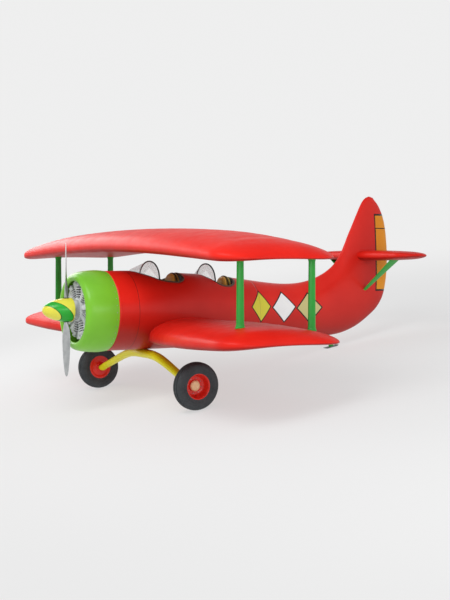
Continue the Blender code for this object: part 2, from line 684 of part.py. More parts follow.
def make_windscreen(which, body):
    """A half-cone screen whose feet follow the middle of the cockpit's cut edge and whose
    crest climbs from the deck to the top of its rear rim."""
    tip, rim, top = WINDSCREENS[which]
    edge = COCKPIT_CUTS[which]
    rings = []
    for share in (0.0, 0.10, 0.26, 0.48, 0.74, 1.0):
        station = tip + (rim - tip) * share
        foot = float(np.interp(station, [s for s, h in edge], [h for s, h in edge]))
        width = 0.02 + hull_half_width(station, foot, SHELL_WALL / 2)
        deck = float(np.interp(tip, [row[0] for row in HULL_SECTIONS],
                               [row[1] for row in HULL_SECTIONS]))
        crest = deck + 0.008 + (top - deck) * share ** 0.85
        foot -= 0.012
        ring = []
        for wall in (0.0, SCREEN_WALL):
            arch = [at(station, (width - wall) * math.cos(math.pi * i / 10),
                       foot + (crest - foot - wall) * math.sin(math.pi * i / 10) ** 0.85)
                    for i in range(11)]
            ring += arch if wall == 0.0 else arch[::-1]
        rings.append(ring)
    made = loft("windscreen_" + which, rings, "windscreen")
    return seat_against(made, body)


def make_seat(which, floor_top):
    """A leather bucket seat: cushion on a pedestal and a rounded back rest."""
    station, top, half_width = SEATS[which]
    cushion_height = -0.06
    middle = station - 0.145
    rings = []
    # Columns: height, half depth, share of the full half width
    for height, depth, share in ((floor_top + SEAT_GAP, 0.110, 0.72),
                                 (cushion_height - 0.10, 0.125, 0.85),
                                 (cushion_height - 0.05, 0.160, 1.00),
                                 (cushion_height, 0.135, 0.90)):
        rings.append(ellipse_ring(at(middle, 0, height), Vector((depth, 0, 0)),
                                  Vector((0, half_width * share, 0)), 20, 3.0))
    made = loft("seat_" + which, rings, "seat_leather")
    back = []
    low = cushion_height - 0.08
    for share in (0.0, 0.30, 0.60, 0.80, 0.92, 0.985):
        narrow = (1 - share ** 4) ** 0.5
        half_depth = BACK_DEPTH / 2 * (0.35 + 0.65 * narrow)
        spot = at(station + 0.055 + 0.02 * share, 0, low + (top - low) * share)
        back.append(ellipse_ring(spot, Vector((half_depth, 0, 0)),
                                 Vector((0, half_width * (0.25 + 0.75 * narrow), 0)), 20, 2.5))
    return combine(made, loft("back", back), "UNION")


def make_interior(cavity):
    """Floor, bulkheads, instrument panels, seats and sticks inside the shell."""
    inner = grown(cavity, -SEAT_GAP)
    floor_top = FLOOR_HEIGHT + FLOOR_THICKNESS

    def inside(name, low, high, finish):
        return combine(box(name, low, high, finish), piece("inner", inner.data.copy()),
                       "INTERSECT")

    wall = FIREWALL_STATION + FIREWALL_THICKNESS
    inside("firewall", at(wall, -0.7, -0.8), at(FIREWALL_STATION, 0.7, 0.8), "bare_steel")
    inside("cockpit_floor", at(3.42, -0.7, FLOOR_HEIGHT), at(wall + SEAT_GAP, 0.7, floor_top),
           "interior_grey")
    for name, station, top in (("panel_front", 1.44, 0.7), ("panel_rear", 2.57, 0.7),
                               ("bulkhead_front", 2.36, 0.7), ("bulkhead_rear", 3.31, 0.7)):
        low = floor_top + SEAT_GAP if name.startswith("bulkhead") else 0.08
        inside(name, at(station + 0.02, -0.7, low), at(station, 0.7, top), "interior_grey")
    bpy.data.objects.remove(inner)
    for which, station in (("front", 1.62), ("rear", 2.64)):
        make_seat(which, floor_top)
        stick = [ellipse_ring(at(station + lean, 0, floor_top + SEAT_GAP + rise),
                              Vector((size, 0, 0)), Vector((0, size, 0)), 10)
                 for rise, lean, size in ((0, 0, 0.030), (0.03, 0, 0.014), (0.34, 0.03, 0.011),
                                          (0.35, 0.03, 0.018), (0.45, 0.04, 0.018))]
        loft("stick_" + which, stick, "bare_steel")


def main():
    for old in list(bpy.data.objects):
        bpy.data.objects.remove(old)
    attitude = bpy.data.objects.new("parked_attitude", None)
    collection_of("biplane").objects.link(attitude)

    hull = loft("hull", hull_rings())
    cavity = make_cavity()
    make_fuselage(cavity)
    make_rear_body()
    make_interior(cavity)
    notched = loft("notched_hull", hull_rings())
    cut_cockpits(notched)
    for which in WINDSCREENS:
        make_windscreen(which, notched)
    make_cowl()
    make_engine()
    make_baffle()
    make_spinner()
    make_propeller()
    bow = make_gear_bow(hull)
    make_skid(hull)
    make_rudder(hull)
    upper = make_upper_wing()
    for hand, sign in (("left", 1), ("right", -1)):
        lower = make_lower_wing(hand, sign, hull)
        for place, (station, side) in STRUT_PLACES.items():
            make_strut(f"strut_{place}_{hand}", at(station, sign * side, LOWER_HEIGHT + 0.20),
                       at(station, sign * side, UPPER_HEIGHT - 0.06),
                       (STRUT_CHORD, STRUT_CHORD * 0.85), STRUT_THICKNESS, (upper, lower))
        tailplane = make_tailplane(hand, sign, hull)
        make_strut("tail_strut_" + hand, at(5.935, sign * 0.04, 0.185),
                   at(5.99, sign * 0.95, TAILPLANE_HEIGHT - 0.02), (0.07, 0.20), 0.045,
                   (hull, tailplane))
        make_wheel(hand, sign, bow)
    for shape in (hull, cavity, notched):
        bpy.data.objects.remove(shape)

    pitch = parked_pitch()
    attitude.rotation_euler = (0, -pitch, 0)
    floor = -WHEEL_STATION * math.sin(pitch) + WHEEL_HEIGHT * math.cos(pitch) - rolling_radius()
    attitude.location = (0, 0, -floor)
    bpy.context.view_layer.update()
    ends = [(made.matrix_world @ vert.co).x for made in collection_of("biplane").objects
            if made.type == "MESH" for vert in made.data.vertices]
    attitude.location.x = -(min(ends) + max(ends)) / 2


main()
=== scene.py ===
"""Two-seat open biplane with a cowled nine-cylinder radial engine, standing on its wheels
and tail skid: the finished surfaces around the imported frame.

Shapes are drawn in level flight as (station, side, height): metres aft of the spinner's
tip, metres to port, metres over the thrust line. One turn and one shift put them where
the frame stands."""
import json
import math

import bmesh
import bpy
import numpy as np
from mathutils import Matrix


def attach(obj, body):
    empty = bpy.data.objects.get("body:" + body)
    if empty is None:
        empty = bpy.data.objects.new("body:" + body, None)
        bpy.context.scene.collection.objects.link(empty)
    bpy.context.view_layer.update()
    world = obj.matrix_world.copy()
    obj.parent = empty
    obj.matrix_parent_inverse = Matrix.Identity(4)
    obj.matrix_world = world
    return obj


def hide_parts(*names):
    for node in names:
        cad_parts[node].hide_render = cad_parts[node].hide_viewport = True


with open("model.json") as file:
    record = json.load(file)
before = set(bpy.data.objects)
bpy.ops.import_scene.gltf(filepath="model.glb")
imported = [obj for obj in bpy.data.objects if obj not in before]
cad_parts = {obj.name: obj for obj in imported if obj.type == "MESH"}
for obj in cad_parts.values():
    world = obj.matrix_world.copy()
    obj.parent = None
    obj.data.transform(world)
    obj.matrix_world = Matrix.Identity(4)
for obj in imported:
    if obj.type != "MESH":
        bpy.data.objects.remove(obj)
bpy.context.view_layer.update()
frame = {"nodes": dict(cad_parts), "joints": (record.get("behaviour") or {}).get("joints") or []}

JOINTS = {joint["name"]: joint for joint in frame["joints"]}

# Where the level-flight drawing lies in the frame, from the propeller's own axis
PROPELLER_STATION = 0.385
FORWARD = np.array(JOINTS["propeller_spin"]["axis"])
PORT = np.array((0.0, 1.0, 0.0))
UPWARD = np.cross(FORWARD, PORT)
PITCH = math.atan2(FORWARD[2], FORWARD[0])
NOSE = np.array(JOINTS["propeller_spin"]["pos_m"]) + FORWARD * PROPELLER_STATION
DRAWING = np.array((-FORWARD, PORT, UPWARD))

# Hull sections: station and height of the upper point, the same of the lower point, half
# width. Past the tail cone they climb the fin's leading and trailing edges.
HULL_SECTIONS = np.array([
    (0.9954, 0.590, 0.9954, -0.650, 0.620), (1.500, 0.590, 1.500, -0.650, 0.612),
    (1.900, 0.572, 1.900, -0.650, 0.598), (2.400, 0.545, 2.400, -0.648, 0.570),
    (2.900, 0.515, 2.900, -0.642, 0.530), (3.250, 0.470, 3.250, -0.636, 0.490),
    (3.600, 0.425, 3.600, -0.628, 0.445), (3.950, 0.380, 4.000, -0.618, 0.400),
    (4.300, 0.352, 4.400, -0.604, 0.350), (4.600, 0.362, 4.780, -0.585, 0.298),
    (4.850, 0.408, 5.150, -0.558, 0.245), (5.050, 0.480, 5.500, -0.510, 0.198),
    (5.220, 0.570, 5.800, -0.405, 0.160), (5.380, 0.705, 6.080, -0.235, 0.130),
    (5.490, 0.860, 6.270, -0.080, 0.112), (5.560, 0.995, 6.395, 0.110, 0.100),
    (5.612, 1.110, 6.458, 0.350, 0.092), (5.660, 1.210, 6.487, 0.610, 0.086),
    (5.712, 1.312, 6.490, 0.860, 0.080), (5.775, 1.440, 6.472, 1.100, 0.073),
    (5.840, 1.570, 6.445, 1.300, 0.065), (5.905, 1.695, 6.400, 1.480, 0.056),
    (5.960, 1.778, 6.340, 1.620, 0.046), (6.020, 1.832, 6.270, 1.730, 0.034),
    (6.070, 1.850, 6.190, 1.815, 0.018)])
FRONT_ROWS = 7
SHELL_WALL = 0.035

# Cockpit edges as seen from the side, from deck to deck
COCKPIT_EDGES = {
    "front": np.array([(1.4296, 0.5900), (1.50, 0.560), (1.64, 0.510), (1.84, 0.435),
                       (2.00, 0.409), (2.17, 0.411), (2.262, 0.462), (2.2817, 0.5524)]),
    "rear": np.array([(2.6337, 0.5312), (2.68, 0.496), (2.77, 0.440), (2.89, 0.352),
                      (3.01, 0.327), (3.14, 0.343), (3.229, 0.414), (3.2389, 0.4715)])}

# Windscreens: station of the tip and of the rear rim, height of the rim's top
WINDSCREENS = {"front": (1.465, 1.80, 0.735), "rear": (2.650, 2.82, 0.690)}

# Seats: station of the back rest's front, height of its top, half width
SEATS = {"front": (2.13, 0.545, 0.235), "rear": (3.08, 0.490, 0.215)}
SEAT_FOOT, SEAT_DEPTH = -0.14, 0.17
FLOOR_TOP = -0.34


def linear(code):
    """Linear colour from an sRGB hex value."""
    channel = np.array([int(code[i:i + 2], 16) for i in (1, 3, 5)]) / 255
    low, high = channel / 12.92, ((channel + 0.055) / 1.055) ** 2.4
    return (*np.where(channel <= 0.04045, low, high).tolist(), 1.0)


# Shapes


def smooth(knots, values, t):
    """Cubic Hermite through a table's rows, its slopes taken from the rows around."""
    knots, values = np.asarray(knots, float), np.asarray(values, float)
    slopes = np.gradient(values, knots, axis=0)
    i = np.clip(np.searchsorted(knots, t, side="right") - 1, 0, len(knots) - 2)
    step = knots[i + 1] - knots[i]
    x = (t - knots[i]) / step
    if values.ndim > 1:
        x, step = x[..., None], step[..., None]
    near, far = values[i], values[i + 1]
    return ((1 + 2 * x) * (1 - x) ** 2 * near + x * x * (3 - 2 * x) * far
            + step * (x * (1 - x) ** 2 * slopes[i] - x * x * (1 - x) * slopes[i + 1]))


def arc_length(path):
    """Distance along a path of points, from its first."""
    return np.concatenate([[0.0], np.cumsum(np.linalg.norm(np.diff(path, axis=0), axis=1))])


def between(rows, length, at):
    """Rows read at distances along a path, straight from one row to the next."""
    return np.stack([np.interp(at, length, column) for column in rows.T], -1)


def evenly(path, count):
    """So many evenly spaced points along a path."""
    length = arc_length(path)
    return between(path, length, np.linspace(0, length[-1], count))


def resampled(path, count):
    """A smooth path through the points, with so many evenly spaced ones."""
    path = np.asarray(path, float)
    length = arc_length(path)
    return evenly(smooth(length, path, np.linspace(0, length[-1], 20 * len(path))), count)


def unit(vectors):
    """Vectors brought to length one."""
    return vectors / np.maximum(np.linalg.norm(vectors, axis=-1, keepdims=True), 1e-12)


def round_turn(count):
    """Angles evenly spaced round one full turn."""
    return np.linspace(0, 2 * math.pi, count, endpoint=False)


def rings(middles, first, second, count=32, power=2.0):
    """Superellipse rings: middle + first·cos + second·sin, each share raised to 2/power."""
    a = round_turn(count)
    c, s = np.cos(a), np.sin(a)
    c, s = np.sign(c) * np.abs(c) ** (2 / power), np.sign(s) * np.abs(s) ** (2 / power)
    middles, first, second = (np.asarray(v, float)[:, None, :] for v in (middles, first, second))
    return middles + first * c[:, None] + second * s[:, None]


def skin(grid, around=True, along=False, caps=True):
    """Points and faces over a grid. around joins each row's ends, along joins the last
    row to the first, and caps close the end rows by a fan about their middle."""
    rows, count = grid.shape[:2]
    index = np.arange(rows * count).reshape(rows, count)
    if around:
        index = np.hstack([index, index[:, :1]])
    if along:
        index = np.vstack([index, index[:1]])
    corners = (index[:-1, :-1], index[:-1, 1:], index[1:, 1:], index[1:, :-1])
    faces = np.stack(corners, -1).reshape(-1, 4).tolist()
    points = grid.reshape(-1, 3)
    if caps and around and not along:
        for ring, turn in ((index[0], 1), (index[-1], -1)):
            fan = np.stack([ring[:-1], np.full(count, len(points)), ring[1:]], -1)[:, ::turn]
            points = np.vstack([points, points[ring[:-1]].mean(0)])
            faces += fan.tolist()
    return points, faces


def turned(profile, centre, axis, steps=48, closed=True):
    """A profile of (radius, distance along the axis) carried round that axis."""
    profile, axis = np.asarray(profile, float), unit(np.asarray(axis, float))
    out = unit(np.cross(axis, (0.31, 0.17, 0.93) if abs(axis[2]) < 0.9 else (1.0, 0.1, 0.0)))
    side = np.cross(axis, out)
    a = round_turn(steps)[:, None]
    spoke = out * np.cos(a) + side * np.sin(a)
    grid = (np.asarray(centre, float) + profile[:, None, 1:] * axis
            + profile[:, None, :1] * spoke)
    return skin(grid, along=closed, caps=False)


def softened(profile, rounds=2, closed=True):
    """Corners cut by Chaikin's rule: each side gives its quarter and three-quarter points."""
    profile = np.asarray(profile, float)
    for _ in range(rounds):
        after = np.roll(profile, -1, 0) if closed else profile[1:]
        before = profile if closed else profile[:-1]
        pair = np.stack([0.75 * before + 0.25 * after, 0.25 * before + 0.75 * after], 1)
        middle = pair.reshape(-1, profile.shape[1])
        profile = middle if closed else np.vstack([profile[:1], middle, profile[-1:]])
    return profile


def tube(path, radius, reference, sides, closed=False):
    """A round section carried along a path, its ends rounded off unless it is a loop. Its
    first point lies towards the reference direction."""
    path = np.asarray(path, float)
    radius = np.broadcast_to(np.asarray(radius, float), len(path))
    reference = np.broadcast_to(np.asarray(reference, float), path.shape)
    if not closed:
        length = arc_length(path)
        bend = np.linspace(0, math.pi / 2, 6)[:-1]
        near, far = radius[0] * (1 - np.cos(bend)), radius[-1] * (1 - np.cos(bend))
        inner = (length > radius[0]) & (length < length[-1] - radius[-1])
        at = np.concatenate([near, length[inner], (length[-1] - far)[::-1]])
        size = np.concatenate([radius[0] * np.sin(bend), radius[inner],
                               (radius[-1] * np.sin(bend))[::-1]])
        path, reference = (between(rows, length, at) for rows in (path, reference))
        radius = size
    around = np.roll(path, -1, 0) - np.roll(path, 1, 0)
    ahead = unit(around if closed else np.gradient(path, axis=0))
    up = unit(reference - ahead * (reference * ahead).sum(-1, keepdims=True))
    across = np.cross(ahead, up)
    grid = rings(path, up * radius[:, None], across * radius[:, None], sides)
    return skin(grid, along=closed)


def domes(centres, normals, radius, height, steps=10):
    """Like round heads, one at each centre, standing along its normal."""
    share = np.array([(0.0, -0.4), (1.0, -0.4), (1.0, 0.35), (0.78, 0.75), (0.42, 0.95),
                      (0.0, 1.0)])
    a = round_turn(steps)
    normals = unit(np.asarray(normals, float))
    out = unit(np.cross(normals, (0.31, 0.17, 0.93)))
    side = np.cross(normals, out)
    spoke = out[:, None] * np.cos(a)[:, None] + side[:, None] * np.sin(a)[:, None]
    grid = (np.asarray(centres, float)[:, None, None] + normals[:, None, None]
            * share[:, 1][:, None, None] * height + spoke[:, None] * share[:, :1, None] * radius)
    return [skin(one, caps=False) for one in grid]


def pillow(low, high, power, count=24):
    """A rounded box between two corners: a superellipse profile over a superellipse plan."""
    low, high = np.asarray(low, float), np.asarray(high, float)
    middle, half = (low + high) / 2, (high - low) / 2
    rise = np.linspace(-math.pi / 2, math.pi / 2, count)
    level = np.sign(np.sin(rise)) * np.abs(np.sin(rise)) ** (2 / power)
    reach = np.cos(rise).clip(0) ** (2 / power)
    middles = middle + np.outer(level, (0, 0, half[2]))
    return skin(rings(middles, np.outer(reach, (half[0], 0, 0)),
                      np.outer(reach, (0, half[1], 0)), 2 * count, power), caps=False)


def outward(points, faces):
    """The faces in the order that makes the closed skin's volume positive."""
    points = points - points.mean(0)
    fans = np.array([(face[0], face[i], face[i + 1]) for face in faces
                     for i in range(1, len(face) - 1)])
    a, b, c = (points[fans[:, k]] for k in range(3))
    inside_out = np.einsum("ij,ij->i", a, np.cross(b, c)).sum() < 0
    return [face[::-1] for face in faces] if inside_out else faces


SHARP_ANGLE = 38


def mesh_of(name, shells, sharp=SHARP_ANGLE):
    """One mesh from skins drawn in level flight, placed in the frame, seams merged."""
    points, faces, start = [], [], 0
    for shell_points, shell_faces in shells:
        placed = NOSE + np.asarray(shell_points) @ DRAWING
        points.append(placed)
        faces += [[i + start for i in face] for face in outward(placed, shell_faces)]
        start += len(placed)
    mesh = bpy.data.meshes.new(name)
    mesh.from_pydata(np.vstack(points), [], faces)
    shape = bmesh.new()
    shape.from_mesh(mesh)
    bmesh.ops.remove_doubles(shape, verts=shape.verts, dist=1e-6)
    shape.to_mesh(mesh)
    shape.free()
    mesh.shade_smooth()
    mesh.set_sharp_from_angle(angle=math.radians(sharp))
    return mesh


def piece(name, shells, finish, body="airframe", stands_for=(), sharp=SHARP_ANGLE):
    """A finished piece that rides on a body and may stand for CAD nodes. finish is a key
    of FINISHES: a material with the record's slot that it belongs to."""
    mesh = shells if isinstance(shells, bpy.types.Mesh) else mesh_of(name, shells, sharp)
    made = bpy.data.objects.new(name, mesh)
    bpy.context.scene.collection.objects.link(made)
    material, slot = FINISHES[finish]
    mesh.materials.clear()
    mesh.materials.append(material)
    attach(made, body)
    if stands_for:
        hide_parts(*stands_for)
    return made


def boolean(name, shells, steps):
    """A mesh after exact Booleans: steps are (operation, cutter's skins)."""
    made = bpy.data.objects.new(name, mesh_of(name, shells))
    bpy.context.scene.collection.objects.link(made)
    cutters = []
    for operation, cutter_shells in steps:
        cutter = bpy.data.objects.new(name + "_cutter", mesh_of("cutter", cutter_shells))
        bpy.context.scene.collection.objects.link(cutter)
        cutters.append(cutter)
        step = made.modifiers.new(operation.lower(), "BOOLEAN")
        step.operation, step.object, step.solver = operation, cutter, "EXACT"
    graph = bpy.context.evaluated_depsgraph_get()
    mesh = bpy.data.meshes.new_from_object(made.evaluated_get(graph))
    for used in (made, *cutters):
        bpy.data.objects.remove(used)
    mesh.name = name
    mesh.shade_smooth()
    mesh.set_sharp_from_angle(angle=math.radians(SHARP_ANGLE))
    return mesh


def blocks(centres, first, second, third):
    """Like small bars: one box per centre, with its three half edges as vectors."""
    signs = np.array(((-1, -1), (1, -1), (1, 1), (-1, 1)))
    made = []
    for centre, x, y, z in zip(*(np.asarray(v, float) for v in (centres, first, second, third))):
        ring = centre + signs[:, :1] * x + signs[:, 1:] * y
        made.append(skin(np.stack([ring - z, ring + z])))
    return made


# Materials


def add(tree, kind, inputs=None, **settings):
    """A node with its settings. inputs maps each socket to a value or to a socket that
    feeds it, and stops gives a colour ramp's (position, colour) pairs."""
    node = tree.nodes.new(kind)
    for pair, stop in enumerate(settings.pop("stops", ())):
        ramp = node.color_ramp.elements
        point = ramp[pair] if pair < 2 else ramp.new(stop[0])
        point.position, point.color = stop
    for key, value in settings.items():
        setattr(node, key, value)
    for key, value in (inputs or {}).items():
        if isinstance(value, bpy.types.NodeSocket):
            tree.links.new(value, node.inputs[key])
        else:
            node.inputs[key].default_value = value
    return node


def start_material(name, **settings):
    """A new material with its shader's own sockets set, and its level-flight position:
    (minus station, side, height) in metres."""
    material = bpy.data.materials.new(name)
    material.use_nodes = True
    tree = material.node_tree
    shader = tree.nodes["Principled BSDF"]
    for key, value in settings.items():
        shader.inputs[key.replace("_", " ")].default_value = value
    place = add(tree, "ShaderNodeTexCoord").outputs["Object"]
    level = add(tree, "ShaderNodeMapping", {"Vector": place, "Location": tuple(NOSE),
                                            "Rotation": (0, -PITCH, 0)}, vector_type="TEXTURE")
    return material, tree, shader, level.outputs["Vector"]


def tone(tree, place, first, second, scale, spread=(0.35, 0.65), detail=3.0):
    """Two close colours that drift into each other over noise of so many per metre."""
    noise = add(tree, "ShaderNodeTexNoise", {"Vector": place, "Scale": scale,
                                             "Detail": detail})
    ramp = add(tree, "ShaderNodeValToRGB", {"Fac": noise.outputs["Fac"]},
               stops=((spread[0], linear(first)), (spread[1], linear(second))))
    return ramp.outputs["Color"]


def level_out(tree, value, low, high, start=0.0, end=1.0, kind="LINEAR"):
    """A value's range brought to another, and clamped."""
    return add(tree, "ShaderNodeMapRange",
               {"Value": value, "From Min": low, "From Max": high, "To Min": start,
                "To Max": end}, interpolation_type=kind).outputs["Result"]


def sums(tree, operation, first, second=0.0, clamp=False):
    """Two numbers or sockets put together by a Math node."""
    return add(tree, "ShaderNodeMath", {0: first, 1: second}, operation=operation,
               use_clamp=clamp).outputs[0]


def over(tree, share, below, above):
    """One colour laid over another where the share is one."""
    node = add(tree, "ShaderNodeMix", {"Factor": share}, data_type="RGBA")
    for socket, value in ((node.inputs[6], below), (node.inputs[7], above)):
        if isinstance(value, bpy.types.NodeSocket):
            tree.links.new(value, socket)
        else:
            socket.default_value = value
    return node.outputs[2]


def bump(tree, shader, height, millimetres, before=None):
    """Raises the surface by so many millimetres where the height is one."""
    inputs = {"Height": height, "Distance": millimetres / 1000, "Strength": 1.0}
    if before:
        inputs["Normal"] = before
    made = add(tree, "ShaderNodeBump", inputs).outputs["Normal"]
    tree.links.new(made, shader.inputs["Normal"])
    return made


def noise_of(tree, place, scale, detail=2.0, roughness=0.5):
    """Noise of so many blotches per metre, from nought to one."""
    return add(tree, "ShaderNodeTexNoise", {"Vector": place, "Scale": scale, "Detail": detail,
                                            "Roughness": roughness}).outputs["Fac"]


def coated(name, light, dark, roughness, coat, specular=0.22):
    """Enamel or dope over a smooth ground: a slow drift between two close tones, roughness
    that follows wiping marks, and orange peel a few millimetres across."""
    material, tree, shader, place = start_material(
        name, Coat_Weight=coat, Coat_Roughness=0.22, IOR=1.5, Specular_IOR_Level=specular)
    colour = tone(tree, place, dark, light, 1.6)
    tree.links.new(colour, shader.inputs["Base Color"])
    wiped = noise_of(tree, place, 7.0, 5.0, 0.6)
    tree.links.new(level_out(tree, wiped, 0.3, 0.7, *roughness), shader.inputs["Roughness"])
    normal = bump(tree, shader, noise_of(tree, place, 140.0), 0.05)
    return material, tree, shader, place, colour, normal


def axes_of(tree, vector):
    """The three coordinates of a position or direction."""
    return list(add(tree, "ShaderNodeSeparateXYZ", {"Vector": vector}).outputs)


def lines_at(tree, value, stations, width):
    """One where the value lies within half a width of any of the stations."""
    total = None
    for station in stations:
        away = sums(tree, "ABSOLUTE", sums(tree, "SUBTRACT", value, station))
        mark = level_out(tree, away, width * 0.35, width * 0.65, 1.0, 0.0)
        total = mark if total is None else sums(tree, "MAXIMUM", total, mark)
    return total


def shaded_below(tree, colour, shade_colour):
    """A colour darkened towards a deeper red where faces look down: painted shade on the
    undersides.
    """
    _, _, rise = axes_of(tree, add(tree, "ShaderNodeTexCoord").outputs["Normal"])
    return over(tree, level_out(tree, rise, 0.25, -0.55, 0.0, 0.90), colour, linear(shade_colour))


RIB_PITCH = 0.30
TAPE_WIDTH = 0.045
# The third red is painted shade, laid on faces that look down.
RED, RED_DARK, RED_PAINTED_SHADE = "#e3261a", "#d81f14", "#9c1b12"


def red_fabric(name):
    """Aircraft fabric doped red: gloss over a cloth whose weave just shows. The tapes over
    the ribs stand up by half a millimetre with pinked edges. The thread is 0.4 mm apart on
    the real cloth and drawn here at 3 mm, so that it shows."""
    material, tree, shader, place, colour, normal = coated(name, RED, RED_DARK,
                                                           (0.38, 0.50), 0.05, 0.12)
    # Painted shade: the red deepens where faces look down.
    colour = shaded_below(tree, colour, RED_PAINTED_SHADE)
    tree.links.new(colour, shader.inputs["Base Color"])
    weave = add(tree, "ShaderNodeTexVoronoi", {"Vector": place, "Scale": 330.0},
                distance="CHEBYCHEV").outputs["Distance"]
    normal = bump(tree, shader, weave, 0.06, normal)
    away = sums(tree, "PINGPONG", axes_of(tree, place)[1], RIB_PITCH / 2)
    pinks = sums(tree, "MULTIPLY_ADD", noise_of(tree, place, 160.0), 0.006)
    away = sums(tree, "ADD", away, pinks)
    tape = level_out(tree, away, TAPE_WIDTH / 2, TAPE_WIDTH / 2 + 0.003, 1.0, 0.0)
    bump(tree, shader, tape, 0.6, normal)
    edge = sums(tree, "MULTIPLY", tape, sums(tree, "SUBTRACT", 1.0, tape))
    darker = over(tree, sums(tree, "MULTIPLY", edge, 1.6, True), colour, linear("#9d1511"))
    tree.links.new(darker, shader.inputs["Base Color"])
    return material


# Painted marks on both sides of the body: station and height of the middle, half length,
# half height, colour
LOZENGES = ((3.615, -0.005, 0.185, 0.235, "#ded643"), (4.095, -0.025, 0.235, 0.235, "#f4f5f5"),
            (4.650, -0.050, 0.270, 0.235, "#cbc283"))
MARK_BORDER, MARK_LINE = 0.10, "#15120f"

# Stations of the metal panels' rear seam and of the joint between the body's halves
PANEL_SEAM, BODY_JOINT = 1.335, 3.600

# Rudder: hinge line's station, heights of its foot, top and split, radius of its nose, the
# gap round it, and the reach and colour of the painted shade round its opening: a dark line
# that stands for the dark of the gap
HINGE_STATION = 6.255
RUDDER_LOW, RUDDER_HIGH, RUDDER_SPLIT = 0.225, 1.53, 1.30
RUDDER_NOSE, RUDDER_CLEARANCE = 0.0885, 0.0055
RUDDER_SHADE_REACH, RUDDER_SHADE_COLOUR = 0.022, "#1c1210"

# Band edges on the spinner: station at the axis, and its change per metre of side and height
SPINNER_BAND = ((0.071, -0.743, 0.842), (0.224, -0.832, 0.860))


def red_body(name):
    """The body's red dope with three plain lozenges in a thin black line on each side, a
    taped joint between its two halves, and the seams of the metal panels at its front."""
    material, tree, shader, place, colour, normal = coated(name, RED, RED_DARK,
                                                           (0.34, 0.46), 0.14)
    # Painted shade: the red deepens where faces look down.
    colour = shaded_below(tree, colour, RED_PAINTED_SHADE)
    back, side, height = axes_of(tree, place)
    seams = lines_at(tree, back, (-PANEL_SEAM, -BODY_JOINT), 0.007)
    colour = over(tree, seams, colour, linear("#5d0d0a"))
    for station, middle, half_length, half_height, code in LOZENGES:
        run = sums(tree, "DIVIDE", sums(tree, "ABSOLUTE", sums(tree, "ADD", back, station)),
                   half_length)
        rise = sums(tree, "DIVIDE", sums(tree, "ABSOLUTE",
                                         sums(tree, "SUBTRACT", height, middle)), half_height)
        reach = sums(tree, "ADD", run, rise)
        border = level_out(tree, reach, 1.0 + MARK_BORDER, 1.02 + MARK_BORDER, 1.0, 0.0)
        inner = level_out(tree, reach, 0.98, 1.0, 1.0, 0.0)
        colour = over(tree, border, colour, linear(MARK_LINE))
        colour = over(tree, inner, colour, linear(code))
    # Painted shade: a dark band on the fin round the rudder's opening, standing for the dark of
    # the gap.
    ahead = sums(tree, "MAXIMUM", sums(tree, "ADD", back, HINGE_STATION), 0.0)
    spoke = add(tree, "ShaderNodeCombineXYZ", {"X": ahead, "Y": side})
    radius = add(tree, "ShaderNodeVectorMath", {0: spoke.outputs["Vector"]},
                 operation="LENGTH").outputs["Value"]
    slot = level_out(tree, radius, RUDDER_NOSE + RUDDER_SHADE_REACH, RUDDER_NOSE + RUDDER_SHADE_REACH + 0.002,
                     1.0, 0.0)
    away = sums(tree, "SUBTRACT", height, (RUDDER_LOW + RUDDER_HIGH) / 2)
    away = sums(tree, "ABSOLUTE", away)
    reach = (RUDDER_HIGH - RUDDER_LOW) / 2 + RUDDER_SHADE_REACH
    slot = sums(tree, "MULTIPLY", slot, level_out(tree, away, reach, reach + 0.002, 1.0, 0.0))
    colour = over(tree, slot, colour, linear(RUDDER_SHADE_COLOUR))
    tree.links.new(colour, shader.inputs["Base Color"])
    normal = bump(tree, shader, seams, -1.2, normal)
    tape = lines_at(tree, back, (-BODY_JOINT,), 0.075)
    bump(tree, shader, tape, 0.5, normal)
    return material


def spinner_enamel(name):
    """Yellow enamel with one slanting green band, masked off between two tilted planes."""
    material, tree, shader, place, colour, _ = coated(name, "#e8e255", "#e0d944",
                                                      (0.26, 0.36), 0.30)
    back, side, height = axes_of(tree, place)
    station = sums(tree, "MULTIPLY", back, -1.0)
    marks, edges = [], []
    for begin, per_side, per_height in SPINNER_BAND:
        plane = sums(tree, "ADD", sums(tree, "MULTIPLY", side, per_side),
                     sums(tree, "MULTIPLY", height, per_height))
        behind = sums(tree, "SUBTRACT", sums(tree, "ADD", station, plane), begin)
        marks.append(level_out(tree, behind, -0.0008, 0.0008))
        edges.append(level_out(tree, sums(tree, "ABSOLUTE", behind), 0.004, 0.006, 1.0, 0.0))
    band = sums(tree, "SUBTRACT", marks[0], marks[1], True)
    green = tone(tree, place, "#22a32c", "#2bb037", 6.0)
    colour = over(tree, band, colour, green)
    colour = over(tree, sums(tree, "MAXIMUM", *edges), colour, linear("#14301a"))
    tree.links.new(colour, shader.inputs["Base Color"])
    return material


def rudder_dope(name):
    """Orange dope with painted shade: a dark line at its ends and where the two sections meet,
    standing for the dark of the gaps.
    """
    material, tree, shader, place, colour, _ = coated(name, "#e5940f", "#d8870d",
                                                      (0.34, 0.46), 0.12)
    joint = lines_at(tree, axes_of(tree, place)[2], (RUDDER_LOW, RUDDER_SPLIT, RUDDER_HIGH),
                     0.016)
    tree.links.new(over(tree, joint, colour, linear(RUDDER_SHADE_COLOUR)),
                   shader.inputs["Base Color"])
    return material


